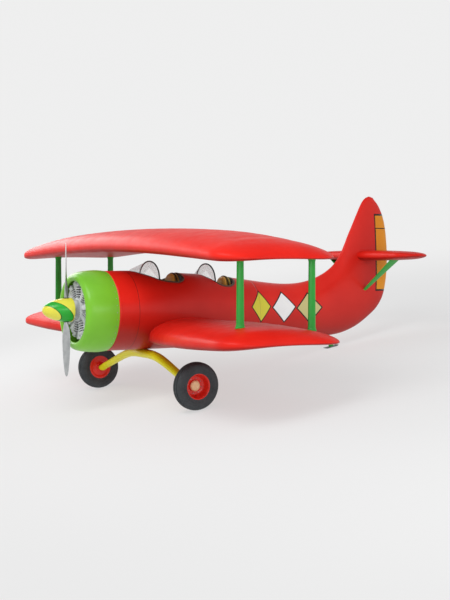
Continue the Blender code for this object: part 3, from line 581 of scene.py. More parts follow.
def bare_metal(name, light, dark, roughness=(0.28, 0.5)):
    """Bare metal: brushing drawn out along one direction, with duller patches. The scratches
    are about 1 mm apart and 30 mm long, coarser than real ones, so that they show."""
    material, tree, shader, place = start_material(name, Metallic=1.0)
    drawn = add(tree, "ShaderNodeMapping", {"Vector": place, "Scale": (3.0, 3.0, 90.0)})
    lines = noise_of(tree, drawn.outputs["Vector"], 12.0, 5.0, 0.7)
    tree.links.new(tone(tree, place, dark, light, 9.0, (0.3, 0.7), 5.0),
                   shader.inputs["Base Color"])
    patches = sums(tree, "ADD", sums(tree, "MULTIPLY", lines, 0.5),
                   sums(tree, "MULTIPLY", noise_of(tree, place, 14.0, 4.0), 0.5))
    tree.links.new(level_out(tree, patches, 0.35, 0.65, *roughness), shader.inputs["Roughness"])
    bump(tree, shader, lines, 0.03)
    return material


def cast_metal(name, light, dark, metallic):
    """Sand-cast aluminium: a fine pebbled skin, grey, with oily film in patches."""
    material, tree, shader, place = start_material(name, Metallic=metallic)
    tree.links.new(tone(tree, place, dark, light, 16.0, (0.3, 0.7), 6.0),
                   shader.inputs["Base Color"])
    tree.links.new(level_out(tree, noise_of(tree, place, 22.0, 5.0), 0.35, 0.65, 0.34, 0.6),
                   shader.inputs["Roughness"])
    pebbles = add(tree, "ShaderNodeTexVoronoi", {"Vector": place, "Scale": 420.0})
    bump(tree, shader, pebbles.outputs["Distance"], 0.25)
    return material


def rubber(name, light, dark):
    """Tyre rubber: matt black-grey, dusty in patches, with a fine moulded grain."""
    material, tree, shader, place = start_material(name, IOR=1.52, Specular_IOR_Level=0.35)
    colour = tone(tree, place, dark, light, 9.0, (0.3, 0.75), 6.0)
    dust = level_out(tree, noise_of(tree, place, 26.0, 6.0, 0.65), 0.55, 0.8, 0.0, 0.25)
    tree.links.new(over(tree, dust, colour, linear("#6d6a63")), shader.inputs["Base Color"])
    tree.links.new(level_out(tree, noise_of(tree, place, 40.0, 4.0), 0.3, 0.7, 0.55, 0.8),
                   shader.inputs["Roughness"])
    bump(tree, shader, noise_of(tree, place, 520.0), 0.25)
    return material


def leather(name, light, dark, crease):
    """Seat leather: pebble grain of cells about 5 mm across, darker in the creases, with a
    soft sheen where it is rubbed."""
    material, tree, shader, place = start_material(
        name, IOR=1.5, Coat_Weight=0.12, Coat_Roughness=0.35, Sheen_Weight=0.15)
    cells = add(tree, "ShaderNodeTexVoronoi", {"Vector": place, "Scale": 210.0},
                feature="DISTANCE_TO_EDGE").outputs["Distance"]
    crack = level_out(tree, cells, 0.0, 0.12)
    colour = tone(tree, place, dark, light, 11.0, (0.3, 0.7), 5.0)
    tree.links.new(over(tree, crack, linear(crease), colour), shader.inputs["Base Color"])
    tree.links.new(level_out(tree, noise_of(tree, place, 18.0, 4.0), 0.3, 0.7, 0.42, 0.62),
                   shader.inputs["Roughness"])
    normal = bump(tree, shader, crack, 0.35)
    bump(tree, shader, noise_of(tree, place, 14.0, 3.0), 1.6, normal)
    return material


def acrylic(name):
    """Clear acrylic sheet: a pale film over what lies behind it, glossy, with faint wiping
    marks. Its 6 mm thickness is in the mesh, and the film keeps both faces light."""
    material, tree, shader, place = start_material(
        name, IOR=1.49, Alpha=0.17, Specular_IOR_Level=0.30)
    tree.links.new(tone(tree, place, "#e9f3f1", "#fbfffe", 3.0), shader.inputs["Base Color"])
    haze = noise_of(tree, place, 30.0, 5.0, 0.7)
    tree.links.new(level_out(tree, haze, 0.4, 0.7, 0.06, 0.16), shader.inputs["Roughness"])
    return material


BOARD_WIDTH = 0.09


def boards(name):
    """Ash floor boards under grey paint: boards 90 mm wide, grain drawn out fore and aft,
    worn to the wood where feet rest."""
    material, tree, shader, place = start_material(name, IOR=1.5)
    gap = level_out(tree, sums(tree, "PINGPONG", axes_of(tree, place)[1], BOARD_WIDTH / 2),
                    0.0, 0.003, 1.0, 0.0)
    grain = add(tree, "ShaderNodeMapping", {"Vector": place, "Scale": (2.0, 40.0, 40.0)})
    streaks = noise_of(tree, grain.outputs["Vector"], 5.0, 6.0, 0.6)
    paint = tone(tree, place, "#5d626b", "#70757f", 8.0)
    wood = over(tree, streaks, linear("#7c6144"), linear("#a88a63"))
    worn = level_out(tree, noise_of(tree, place, 6.0, 6.0, 0.7), 0.56, 0.66)
    colour = over(tree, gap, over(tree, worn, paint, wood), linear("#191818"))
    tree.links.new(colour, shader.inputs["Base Color"])
    tree.links.new(level_out(tree, streaks, 0.3, 0.7, 0.5, 0.7), shader.inputs["Roughness"])
    bump(tree, shader, sums(tree, "SUBTRACT", sums(tree, "MULTIPLY", streaks, 0.2), gap), 1.5)
    return material


# Finish: its material, and the record's slot that it belongs to
FINISHES = {
    # Doped fabric and dope over ply and metal: deep red, satin, its weave and seams showing
    "red_wing": (red_fabric("doped_fabric_red"), "red_dope"),
    "red_body": (red_body("doped_body_red"), "red_dope"),
    "rudder_orange": (rudder_dope("rudder_dope_orange"), "rudder_orange"),
    "spinner": (spinner_enamel("spinner_enamel_banded"), "spinner_yellow"),
    # Sand-cast aluminium, dull and pebbled, and lighter thin fins and sheet
    "engine_grey": (cast_metal("cast_aluminium", "#d6d9db", "#c4c8ca", 0.1), "engine_grey"),
    "fin_grey": (cast_metal("finned_aluminium", "#e6e8ea", "#d6d9dc", 0.0), "engine_grey"),
    "baffle_grey": (cast_metal("baffle_sheet_grey", "#e3e6e8", "#d6d9dc", 0.0), "engine_grey"),
    # Brushed aluminium blades, dark worn steel, and cadmium-plated small fittings
    "blade_grey": (bare_metal("satin_aluminium_blade", "#c8caca", "#a9acad"), "blade_grey"),
    "steel": (bare_metal("worn_steel", "#8e9092", "#5f6163", (0.3, 0.55)), "bare_steel"),
    "fitting": (bare_metal("plated_fitting", "#b9bbba", "#8f9192", (0.25, 0.4)), "bare_steel"),
    # Moulded rubber, clear sheet and painted boards
    "tyre_black": (rubber("tyre_rubber", "#3e4245", "#303437"), "tyre_black"),
    "grip": (rubber("grip_rubber", "#2c2d2f", "#222325"), "tyre_black"),
    "screen": (acrylic("clear_acrylic"), "windscreen"),
    "boards": (boards("painted_floor_boards"), "interior_grey"),
    # Pebbled leathers: saddle tan and olive on the seats, dark on the rolls and piping.
    # The tan front and olive back are a lit and a shaded copy of one leather, so the olive is
    # painted shade. Both are painted lighter, as painted light inside the cockpit's shade.
    "seat_leather": (leather("saddle_leather_painted_light", "#ffc958", "#f4b948", "#d39a36"),
                     "seat_leather"),
    "seat_shell": (leather("olive_leather_shaded_copy", "#d9c756", "#c7b347", "#9c8b34"), "seat_leather"),
    "coaming": (leather("coaming_leather_tan", "#5c4720", "#4e3b19", "#33260f"),
                "seat_leather"),
    "seat_piping": (leather("piping_leather_dark", "#3a2a14", "#2c1f0e", "#171006"),
                    "seat_leather"),
}

# Enamels of one colour: two close tones, roughness, coat, and the record's slot
for finish, enamel, light, dark, roughness, coat, slot in (
        # Sprayed on the cowl and brushed on struts and bow: satin, with broad highlights
        ("cowl_green", "cowl_enamel_green", "#7cc432", "#72b92e", (0.30, 0.42), 0.20,
         "cowl_green"),
        ("strut_green", "strut_enamel_green", "#2da63a", "#269a33", (0.32, 0.44), 0.15,
         "strut_green"),
        ("gear_yellow", "gear_enamel_yellow", "#e6dd1c", "#d8cf19", (0.32, 0.44), 0.15,
         "gear_yellow"),
        # Baked on pressed rims and hub caps: hard and glossy
        ("rim_red", "rim_enamel_red", "#e22c20", "#cf2319", (0.26, 0.38), 0.5, "rim_red"),
        ("hubcap", "hub_cap_enamel_cream", "#ecc79a", "#e0b884", (0.25, 0.36), 0.5,
         "hubcap_cream"),
        # Heat-proof black on the barrels: dull. The black is also painted shade, standing for
        # the dark deep between the fins.
        ("barrel_black_and_fin_shade", "barrel_enamel_black_and_fin_shade", "#141416", "#0e0e10", (0.4, 0.55), 0.1,
         "engine_grey"),
        ("screen_frame", "frame_enamel_dark", "#2b2e2f", "#1f2122", (0.3, 0.45), 0.4,
         "windscreen"),
        # Eggshell paint in the cockpits, and dials with their printed marks behind glass
        ("interior", "cockpit_paint_grey", "#9aa1ad", "#878e9b", (0.5, 0.65), 0.1,
         "interior_grey"),
        ("dial_face", "dial_face_black", "#1a1b1d", "#141517", (0.3, 0.4), 0.8,
         "interior_grey"),
        ("dial_white", "dial_mark_white", "#f0efe8", "#e6e4da", (0.4, 0.5), 0.2,
         "interior_grey")):
    FINISHES[finish] = (coated(enamel, light, dark, roughness, coat)[0], slot)

HANDS = (("left", 1), ("right", -1))


# Hull


def hull_rows(t):
    """Section rows at parameter t: the station where both points share one, and beyond it
    the distance along the middle line."""
    table = HULL_SECTIONS
    middle = np.stack([(table[:, 0] + table[:, 2]) / 2, (table[:, 1] + table[:, 3]) / 2], -1)
    step = np.linalg.norm(np.diff(middle, axis=0), axis=1)
    knots = np.concatenate([table[:FRONT_ROWS, 0],
                            table[FRONT_ROWS - 1, 0] + np.cumsum(step[FRONT_ROWS - 1:])])
    rows = smooth(knots, table, t)
    ahead = t <= table[FRONT_ROWS - 1, 0]
    rows[:, 0] = np.where(ahead, t, rows[:, 0])
    rows[:, 2] = np.where(ahead, t, rows[:, 2])
    return rows, knots


def hull_points(rows, angle):
    """Ellipses from the upper point at angle nought: middle + half height·cos, width·sin."""
    top = np.stack([rows[:, 0], 0 * rows[:, 0], rows[:, 1]], -1)[:, None]
    low = np.stack([rows[:, 2], 0 * rows[:, 0], rows[:, 3]], -1)[:, None]
    wide = np.stack([0 * rows[:, 0], rows[:, 4], 0 * rows[:, 0]], -1)[:, None]
    c, s = np.cos(angle)[..., None], np.sin(angle)[..., None]
    return (top + low) / 2 + (top - low) / 2 * c + wide * s


def hull_half_width(station, height, inset=0.0):
    """Half width of the front hull at a height, with its skin brought in by an inset."""
    table = HULL_SECTIONS[:9]
    top, low, wide = (smooth(table[:, 0], table[:, k], np.asarray(station, float))
                      for k in (1, 3, 4))
    share = (height - (top + low) / 2) / ((top - low) / 2 - inset)
    return (wide - inset) * np.sqrt(np.clip(1 - share * share, 0, None))


def edge_path(which, count=400):
    """Station and height along a cockpit's edge, smoothly through its points."""
    return resampled(COCKPIT_EDGES[which], count)


def make_front_body():
    """The hollow front body: each ring runs from one cockpit edge round the belly to the
    other, or from crown to crown where the deck is closed. A wall is then set inwards."""
    first, last = HULL_SECTIONS[0, 0], HULL_SECTIONS[FRONT_ROWS - 1, 0]
    stations = [np.linspace(first, last, 90)]
    for which in COCKPIT_EDGES:
        stations.append(edge_path(which, 70)[:, 0])
    stations = np.unique(np.round(np.concatenate(stations), 5))
    rows, _ = hull_rows(stations)
    middle, half = (rows[:, 1] + rows[:, 3]) / 2, (rows[:, 1] - rows[:, 3]) / 2
    opening = np.zeros(len(stations))
    for which in COCKPIT_EDGES:
        edge = edge_path(which)
        inside = (stations > edge[0, 0]) & (stations < edge[-1, 0])
        height = np.interp(stations, edge[:, 0], edge[:, 1])
        cut = np.arccos(np.clip((height - middle) / half, -1, 1))
        opening = np.where(inside, cut, opening)
    share = np.linspace(0, 1, 97)
    angle = opening[:, None] + (2 * math.pi - 2 * opening[:, None]) * share
    made = piece("body_front", [skin(hull_points(rows, angle), around=False)], "red_body",
                 stands_for=["fuselage"])
    made.data.materials.append(FINISHES["interior"][0])
    wall = made.modifiers.new("wall", "SOLIDIFY")
    wall.thickness, wall.offset, wall.use_even_offset = SHELL_WALL, -1.0, True
    wall.material_offset = 1


COAMING_RADIUS = 0.020


def make_coaming(which):
    """A leather roll over the middle of the cockpit's wall, from the windscreen's foot on
    one side round the back to the other. Its path's middle lies on the centre line."""
    edge = edge_path(which)
    start, end = WINDSCREENS[which][1] - 0.01, COCKPIT_EDGES[which][-1, 0]
    edge = edge[(edge[:, 0] >= start) & (edge[:, 0] <= end)]
    width = hull_half_width(edge[:, 0], edge[:, 1], SHELL_WALL / 2)
    line = np.stack([edge[:, 0], width, edge[:, 1]], -1)[:np.count_nonzero(width) + 1]
    port = evenly(line, 80)
    path = np.vstack([port, port[::-1][1:] * (1, -1, 1)])
    path[:, 2] += 0.002
    out = unit(path * (0, 1, 1) - (0, 0, -0.2))
    roll = piece("coaming_" + which, [tube(path, COAMING_RADIUS, out, 16)], "coaming")


def rear_rows():
    """Rows of the tail cone and fin, with the fin's tip rounded over."""
    _, knots = hull_rows(np.array([1.0]))
    start = HULL_SECTIONS[FRONT_ROWS - 1, 0] + 0.0004
    rows, _ = hull_rows(np.linspace(start, knots[-1], 150))
    tip = []
    for bend in np.linspace(0.2, 1.0, 6) * math.pi / 2:
        last, shrink = rows[-1], math.cos(bend)
        middle_s, middle_h = (last[0] + last[2]) / 2, (last[1] + last[3]) / 2
        lift = 0.014 * math.sin(bend)
        tip.append((middle_s + (last[0] - middle_s) * (0.35 + 0.65 * shrink) + lift * 0.3,
                    middle_h + (last[1] - middle_h) * (0.35 + 0.65 * shrink) + lift,
                    middle_s + (last[2] - middle_s) * (0.35 + 0.65 * shrink) + lift * 0.3,
                    middle_h + (last[3] - middle_h) * (0.35 + 0.65 * shrink) + lift,
                    last[4] * max(shrink, 0.02)))
    return np.vstack([rows, tip])


def rudder_blank(low, high, nose):
    """A block about the hinge line with a round nose, wider than the tail behind it."""
    a = np.linspace(math.pi / 2, 3 * math.pi / 2, 49)
    outline = np.vstack([[(0.5, nose * 1.6)], np.stack([nose * np.cos(a), nose * np.sin(a)], -1),
                         [(0.5, -nose * 1.6)]])
    grid = np.stack([np.stack([HINGE_STATION + outline[:, 0], outline[:, 1],
                               0 * outline[:, 0] + z], -1) for z in (low, high)])
    return skin(grid)


POST_RADIUS = 0.016


def make_tail():
    """The tail cone and fin, less the rudder's space, and the two rudder sections cut from
    the same hull."""
    rows = rear_rows()
    hull = skin(hull_points(rows, np.broadcast_to(round_turn(96), (len(rows), 96))))
    room = rudder_blank(RUDDER_LOW - RUDDER_CLEARANCE, RUDDER_HIGH + RUDDER_CLEARANCE,
                        RUDDER_NOSE + RUDDER_CLEARANCE)
    piece("body_rear", boolean("body_rear", [hull], [("DIFFERENCE", [room])]), "red_body",
          stands_for=["rear_fuselage"])
    for name, node, low, high in (
            ("rudder_lower", "rudder", RUDDER_LOW - 0.002, RUDDER_SPLIT - 0.0005),
            ("rudder_upper", "rudder_top", RUDDER_SPLIT + 0.0005, RUDDER_HIGH + 0.002)):
        blank = rudder_blank(low, high, RUDDER_NOSE)
        piece(name, boolean(name, [hull], [("INTERSECT", [blank])]), "rudder_orange", "rudder",
              stands_for=[node])
    tall = RUDDER_HIGH - RUDDER_LOW + 0.02
    post = turned([(0, 0), (POST_RADIUS, 0), (POST_RADIUS, tall), (0, tall)],
                  (HINGE_STATION, 0, RUDDER_LOW - 0.01), (0, 0, 1), 24, closed=False)
    piece("rudder_post", [post], "fitting", "rudder")


# Wings


CREST, NOSE_POWER, TAIL_POWER = 0.4, 3.0, 2.2


def wing_section():
    """Shares of chord and thickness round a section, from the trailing edge over the top:
    two superellipse quarters that meet at the crest."""
    x = (1 - np.cos(np.linspace(0, math.pi, 41))) / 2
    run = np.where(x < CREST, 1 - x / CREST, (x - CREST) / (1 - CREST))
    power = np.where(x < CREST, NOSE_POWER, TAIL_POWER)
    half = 0.5 * np.clip(1 - run ** power, 0, None) ** (1 / power)
    return (np.concatenate([x[::-1], x[1:-1]]), np.concatenate([half[::-1], -half[1:-1]]))


def wing_grid(side, front, rear, height, half_span, tip_length, thickness, camber, taper,
              sag=0.0):
    """Wing skin at sides given as one column or one per point: chord shares between both
    edges, thickness and camber that thin out and round off towards the tip, and fabric
    that sags a little between the ribs aft of the stiff nose."""
    x, h = wing_section()
    side = np.broadcast_to(side, (len(side), len(x)))
    away = np.abs(side)
    reach = np.clip((away - (half_span - tip_length)) / tip_length, 0, 1)
    share = np.sqrt(1 - reach ** 2.4)
    inset = tip_length * (1 - share)
    lead, trail = front(away) + inset, rear(away) - inset
    thin = 1 - taper[1] * np.clip(1 - (half_span - away) / taper[0], 0, None) ** 2
    deep = thickness * share ** 0.9 * thin
    bend = 4 * camber * share * thin * x * (1 - x)
    slack = sag * np.sin(math.pi * away / RIB_PITCH) ** 2 * share
    slack = slack * np.clip((x - 0.12) / 0.15, 0, 1) * np.clip((0.95 - x) / 0.25, 0, 1)
    rise = height(away) + h * deep + bend - slack * np.sign(h)
    return np.stack([lead + x * (trail - lead), side, rise], -1)


def rooted(grid):
    """A panel's skin with its root closed by a fan about the root's middle. Its tip has
    already come down to a line."""
    middle = np.broadcast_to(grid[0].mean(0), (1, *grid.shape[1:]))
    return skin(np.concatenate([middle, grid]), caps=False)


def span_steps(root, half_span, tip_length, straight, rounded):
    """Sides from root to tip, closer together where the plan rounds off."""
    inner = np.linspace(root, half_span - tip_length, straight)
    outer = half_span - tip_length + tip_length * np.sin(np.linspace(0, math.pi / 2, rounded))
    return np.concatenate([inner, outer[1:]])


UPPER = dict(front=lambda y: 1.00 + 0 * y, rear=lambda y: 2.91 + 0 * y,
             height=lambda y: 0.972 - 0.175 * (y / 3.76) ** 2, half_span=3.76,
             tip_length=0.46, thickness=0.32, camber=0.12, taper=(1.70, 0.34))


def lower_nose(y):
    """The lower wing's front edge, swept back towards the root."""
    return 1.05 + 0.53 * np.clip(1 - (y - 0.45) / 2.40, 0, 1) ** 2


LOWER = dict(front=lower_nose, rear=lambda y: 2.96 + 0 * y,
             height=lambda y: -0.455 + 0.110 * (y / 3.84) ** 0.8, half_span=3.84,
             tip_length=0.46, thickness=0.32, camber=0.12, taper=(1.70, 0.34))
FABRIC_SAG = 0.004
ROOT_DEPTH, ROOT_BEAD = 0.012, 0.010


def wing_height(wing, station, side, upper=True):
    """Height of a wing's skin over a place in its plan."""
    grid = wing_grid(np.array([[side]]), **wing)[0]
    half = len(grid) // 2 + 1
    line = grid[:half] if upper else np.vstack([grid[half - 1:], grid[:1]])
    order = np.argsort(line[:, 0])
    return float(np.interp(station, line[order, 0], line[order, 2]))


def make_upper_wing():
    """One arched wing from tip to tip."""
    half = span_steps(0.0, UPPER["half_span"], UPPER["tip_length"], 150, 26)
    sides = np.concatenate([-half[:0:-1], half])[:, None]
    piece("wing_upper", [skin(wing_grid(sides, sag=FABRIC_SAG, **UPPER), caps=False)],
          "red_wing", stands_for=["upper_wing"])


def make_lower_wing(hand, sign):
    """One lower panel. Its root follows the body's side a little way inside the skin, with
    a rounded fillet bead along the joint."""
    x, _ = wing_section()
    root = np.full((1, len(x)), 0.5)
    for _ in range(4):
        points = wing_grid(root, **LOWER)[0]
        root = hull_half_width(points[:, 0], points[:, 2])[None]
    step = span_steps(0.0, 1.0, 0.13, 110, 26)[:, None]
    inner = root - ROOT_DEPTH
    sides = inner + (LOWER["half_span"] - inner) * step
    grid = wing_grid(sides, sag=FABRIC_SAG, **LOWER) * (1, sign, 1)
    piece("wing_lower_" + hand, [rooted(grid)], "red_wing",
          stands_for=["lower_wing_" + hand])
    seam = wing_grid(root, **LOWER)[0] * (1, sign, 1)
    piece("root_bead_" + hand, [tube(seam, ROOT_BEAD, (0, 1, 0), 12, closed=True)],
          "red_wing")


TAILPLANE = dict(front=lambda y: 5.79 + 0 * y, rear=lambda y: 6.42 + 0 * y,
                 height=lambda y: 0.825 + 0 * y, half_span=1.34, tip_length=0.26,
                 thickness=0.175, camber=0.0, taper=(1.0, 0.35))


SWING_RADIUS = 0.23


def make_tailplane(hand, sign):
    """Half of the tailplane, cut round so that the rudder can swing."""
    sides = span_steps(0.03, TAILPLANE["half_span"], TAILPLANE["tip_length"], 40, 24)
    grid = wing_grid(sides[:, None], **TAILPLANE) * (1, sign, 1)
    swing = turned([(0, 0), (SWING_RADIUS, 0), (SWING_RADIUS, 0.7), (0, 0.7)],
                   (HINGE_STATION + 0.10, 0, 0.5), (0, 0, 1), 96, closed=False)
    mesh = boolean("tailplane_" + hand, [rooted(grid)], [("DIFFERENCE", [swing])])
    piece("stabiliser_" + hand, mesh, "red_wing", stands_for=["tailplane_" + hand])


# Struts and gear


def strut_skin(low, high, chords, thickness):
    """A streamlined strut: ellipses along a straight line, with its chord at either end."""
    share = np.linspace(0, 1, 40)[:, None]
    line = np.asarray(low) + (np.asarray(high) - np.asarray(low)) * share
    chord = chords[0] + (chords[1] - chords[0]) * share
    return skin(rings(line, chord / 2 * (1, 0, 0), thickness / 2 * np.ones_like(share)
                      * (0, 1, 0), 36))


def foot_skin(station, side, base, away, chord, thickness, height):
    """A fairing cuff: the strut's ellipse flaring by a quarter circle into the skin."""
    share = np.linspace(0, 1, 12)[:, None]
    flare = 0.020 * (1 - np.sqrt(1 - (1 - share) ** 2)) + 0.004 * np.sqrt(
        np.clip(1 - share ** 6, 0, None))
    line = np.array((station, side, base)) + share * (0, 0, away * height)
    return skin(rings(line, (chord / 2 + flare) * (1, 0, 0), (thickness / 2 + flare)
                      * (0, 1, 0), 36))


STRUT_PLACES = {"front": (1.57, 3.20), "rear": (2.65, 3.32)}
STRUT_CHORDS, STRUT_THICKNESS, STRUT_CUFF = (0.125, 0.106), 0.052, 0.05


def make_struts():
    """Two pairs of interplane struts, with fairing cuffs where they meet the wings."""
    for place, (station, side) in STRUT_PLACES.items():
        low = wing_height(LOWER, station, side)
        high = wing_height(UPPER, station, side, upper=False)
        for hand, sign in HANDS:
            shells = [strut_skin((station, sign * side, low - 0.02),
                                 (station, sign * side, high + 0.02), STRUT_CHORDS,
                                 STRUT_THICKNESS)]
            for base, away, chord in ((low - 0.006, 1, STRUT_CHORDS[0]),
                                      (high + 0.006, -1, STRUT_CHORDS[1])):
                shells.append(foot_skin(station, sign * side, base, away, chord,
                                        STRUT_THICKNESS, STRUT_CUFF))
            piece(f"interplane_strut_{place}_{hand}", shells, "strut_green",
                  stands_for=[f"strut_{place}_{hand}"])


def make_tail_struts():
    """The tailplane's two struts, broad at the top and narrow at the fin."""
    for hand, sign in HANDS:
        shell = strut_skin((5.935, sign * 0.06, 0.198), (5.99, sign * 0.93, 0.79),
                           (0.070, 0.200), 0.045)
        piece("stabiliser_strut_" + hand, [shell], "strut_green",
              stands_for=["tail_strut_" + hand])


WHEEL_STATION = 1.69
BOW_FOOT_SIDE = 1.60

# Columns: side, height, half thickness, half width along the flight line
BOW = np.array([
    (0.0, -0.712, 0.070, 0.100), (0.25, -0.716, 0.068, 0.097), (0.50, -0.744, 0.063, 0.090),
    (0.75, -0.806, 0.059, 0.082), (1.00, -0.884, 0.056, 0.075), (1.25, -0.964, 0.054, 0.069),
    (1.45, -1.026, 0.052, 0.064), (BOW_FOOT_SIDE - 0.03, -1.068, 0.050, 0.058),
    (BOW_FOOT_SIDE, -1.068, 0.044, 0.052)])


def make_gear_bow():
    """The sprung bow: ellipses square to a smooth line from wheel to wheel."""
    run = np.vstack([BOW[:0:-1] * (-1, 1, 1, 1), BOW])
    rows = smooth(run[:, 0], run, np.linspace(run[0, 0], run[-1, 0], 161))
    slope = np.gradient(rows[:, 1], rows[:, 0])
    up = unit(np.stack([0 * slope, -slope, np.ones_like(slope)], -1))
    middles = np.stack([np.full(len(rows), WHEEL_STATION), rows[:, 0], rows[:, 1]], -1)
    grid = rings(middles, up * rows[:, 2:3], rows[:, 3:4] * (1, 0, 0), 40)
    piece("spring_bow", [skin(grid)], "gear_yellow", stands_for=["gear_bow"])


def wheel_frame(hand, sign):
    """A wheel's centre and outward axis in the drawing."""
    joint = JOINTS[f"wheel_{hand}_spin"]
    centre = DRAWING @ (np.array(joint["pos_m"]) - NOSE)
    return centre, DRAWING @ np.array(joint["axis"]) * sign


# Tyre section: radius of its middle, half its depth and width, bead seat, side-wall rings,
# and the tread grooves' places, half width and depth
TYRE_MIDDLE, TYRE_DEEP, TYRE_HALF = 0.2765, 0.079, 0.099
BEAD_RADIUS = 0.1912
WALL_RINGS = (0.232, 0.300)
TREAD_GROOVES, GROOVE_HALF, GROOVE_DEPTH = (-0.046, 0.0, 0.046), 0.0110, 0.014


def tyre_profile():
    """Tyre section as (radius, distance outboard): a superellipse crown, three grooves
    round the tread, a bead and two raised rings on each side wall."""
    a = np.linspace(-0.5, 0.5, 241) * 1.36 * math.pi
    along = TYRE_HALF * np.sign(np.sin(a)) * np.abs(np.sin(a)) ** 0.86
    radius = TYRE_MIDDLE + TYRE_DEEP * np.sign(np.cos(a)) * np.abs(np.cos(a)) ** 0.80
    for groove in TREAD_GROOVES:
        cut = np.clip(1 - (np.abs(along - groove) / GROOVE_HALF) ** 4, 0, 1)
        radius = radius - np.where(np.cos(a) > 0.3, GROOVE_DEPTH * cut, 0)
    for ring in WALL_RINGS:
        lift = np.exp(-((radius - ring) / 0.004) ** 2) * 0.0016
        along = along + np.where(np.abs(a) > 0.9, np.sign(along) * lift, 0)
    section = np.stack([radius, along], -1)[radius > 0.194]
    foot = [(BEAD_RADIUS, section[end, 1] * 0.99) for end in (-1, 0)]
    return np.vstack([section, foot])


def make_wheel(hand, sign):
    """Tyre, dished rim with its bead and bolts, recessed hub cap and valve of one wheel."""
    centre, out = wheel_frame(hand, sign)
    body = "wheel_" + hand
    piece("balloon_tyre_" + hand, [turned(tyre_profile(), centre, out, 128)], "tyre_black",
          body, stands_for=["tyre_" + hand], sharp=50)
    flange = softened([
        (0.0305, -0.105), (0.062, -0.105), (0.062, -0.066), (0.140, -0.060), (0.162, -0.078),
        (0.188, -0.078), (0.196, -0.080), (0.197, -0.075), (0.188, -0.066), (0.186, 0.066),
        (0.197, 0.074), (0.198, 0.080), (0.190, 0.083), (0.180, 0.080), (0.172, 0.070),
        (0.166, 0.030), (0.152, -0.026), (0.130, -0.041), (0.090, -0.046), (0.062, -0.047),
        (0.062, -0.030), (0.0305, -0.030)], 2)
    angle = round_turn(8) + 0.2
    spin = unit(np.cross(out, (1.0, 0.0, 0.0)))
    fore = np.cross(out, spin)
    spokes = spin * np.cos(angle)[:, None] + fore * np.sin(angle)[:, None]
    bolts = domes(centre + spokes * 0.112 + out * -0.0435, np.broadcast_to(out, (8, 3)), 0.0085,
                  0.008)
    piece("wheel_rim_" + hand, [turned(flange, centre, out, 96)], "rim_red", body,
          stands_for=["rim_" + hand])
    piece("rim_bolts_" + hand, bolts, "fitting", body)
    cap = softened([(0, -0.0295), (0.080, -0.0295), (0.0805, -0.021), (0.074, -0.010),
                    (0.062, 0.001), (0.040, -0.001), (0.030, -0.006), (0, -0.007)], 2,
                   closed=False)
    piece("hub_cap_" + hand, [turned(cap, centre, out, 64, closed=False)], "hubcap", body,
          stands_for=["hubcap_" + hand])
    stem = centre + spin * 0.150 + out * -0.03
    piece("valve_stem_" + hand, [tube(np.stack([stem, stem + out * 0.022 - spin * 0.006,
                                               stem + out * 0.044 - spin * 0.014]),
                                      0.0045, spin, 10)], "grip", body)


def make_skid():
    """The tail skid's sprung bar and its steel shoe with turned-up ends."""
    aft = np.array((math.cos(PITCH), 0, math.sin(PITCH)))
    up = np.array((-math.sin(PITCH), 0, math.cos(PITCH)))
    foot = np.array((5.30, 0, -0.760))
    # Columns: distance ahead of the shoe's middle, height over the floor, half thickness
    run = np.array([(0.00, 0.0225, 0.045), (0.00, 0.060, 0.040), (0.03, 0.11, 0.038),
                    (0.09, 0.20, 0.040), (0.17, 0.30, 0.044)])
    fine = resampled(run, 40)
    middles = foot - aft * fine[:, :1] + up * fine[:, 1:2]
    piece("skid_bar", [skin(rings(middles, aft * fine[:, 2:], np.ones((40, 1)) * (0, 0.036, 0),
                                  32))], "strut_green", stands_for=["tail_skid"])
    x = np.linspace(-0.130, 0.130, 41)
    lift = np.clip((np.abs(x) - 0.095) / 0.035, 0, 1) ** 1.5 * 0.014
    middles = foot + aft * x[:, None] + up * (0.011 + lift * 0.5)[:, None]
    thick = (0.0108 - lift * 0.45)[:, None]
    grid = rings(middles, np.ones((41, 1)) * (0, 0.045, 0), up * thick, 28, 6.0)
    piece("skid_plate", [skin(grid)], "steel", stands_for=["skid_shoe"])


# Power plant


SPINNER_RADIUS, SPINNER_LENGTH, SPINNER_WALL = 0.185, 0.46, 0.006


def make_spinner():
    """A hollow half ellipsoid, and a collar round each blade's shank."""
    a = np.linspace(0, math.pi / 2, 40)
    outer = np.stack([SPINNER_RADIUS * np.sin(a), SPINNER_LENGTH * (1 - np.cos(a))], -1)
    inner = np.stack([(SPINNER_RADIUS - SPINNER_WALL) * np.sin(a),
                      SPINNER_LENGTH - (SPINNER_LENGTH - SPINNER_WALL) * np.cos(a)], -1)
    shell = turned(np.vstack([outer, inner[::-1]]), (0, 0, 0), (1, 0, 0), 96)
    piece("spinner_shell", [shell], "spinner", "propeller", stands_for=["spinner"])
    collars = [turned(softened([(0.034, 0.176), (0.050, 0.176), (0.048, 0.187),
                                (0.034, 0.189)], 2), (PROPELLER_STATION, 0, 0),
                      (0, 0, hand), 40) for hand in (1, -1)]
    piece("shank_collars", collars, "grip", "propeller")


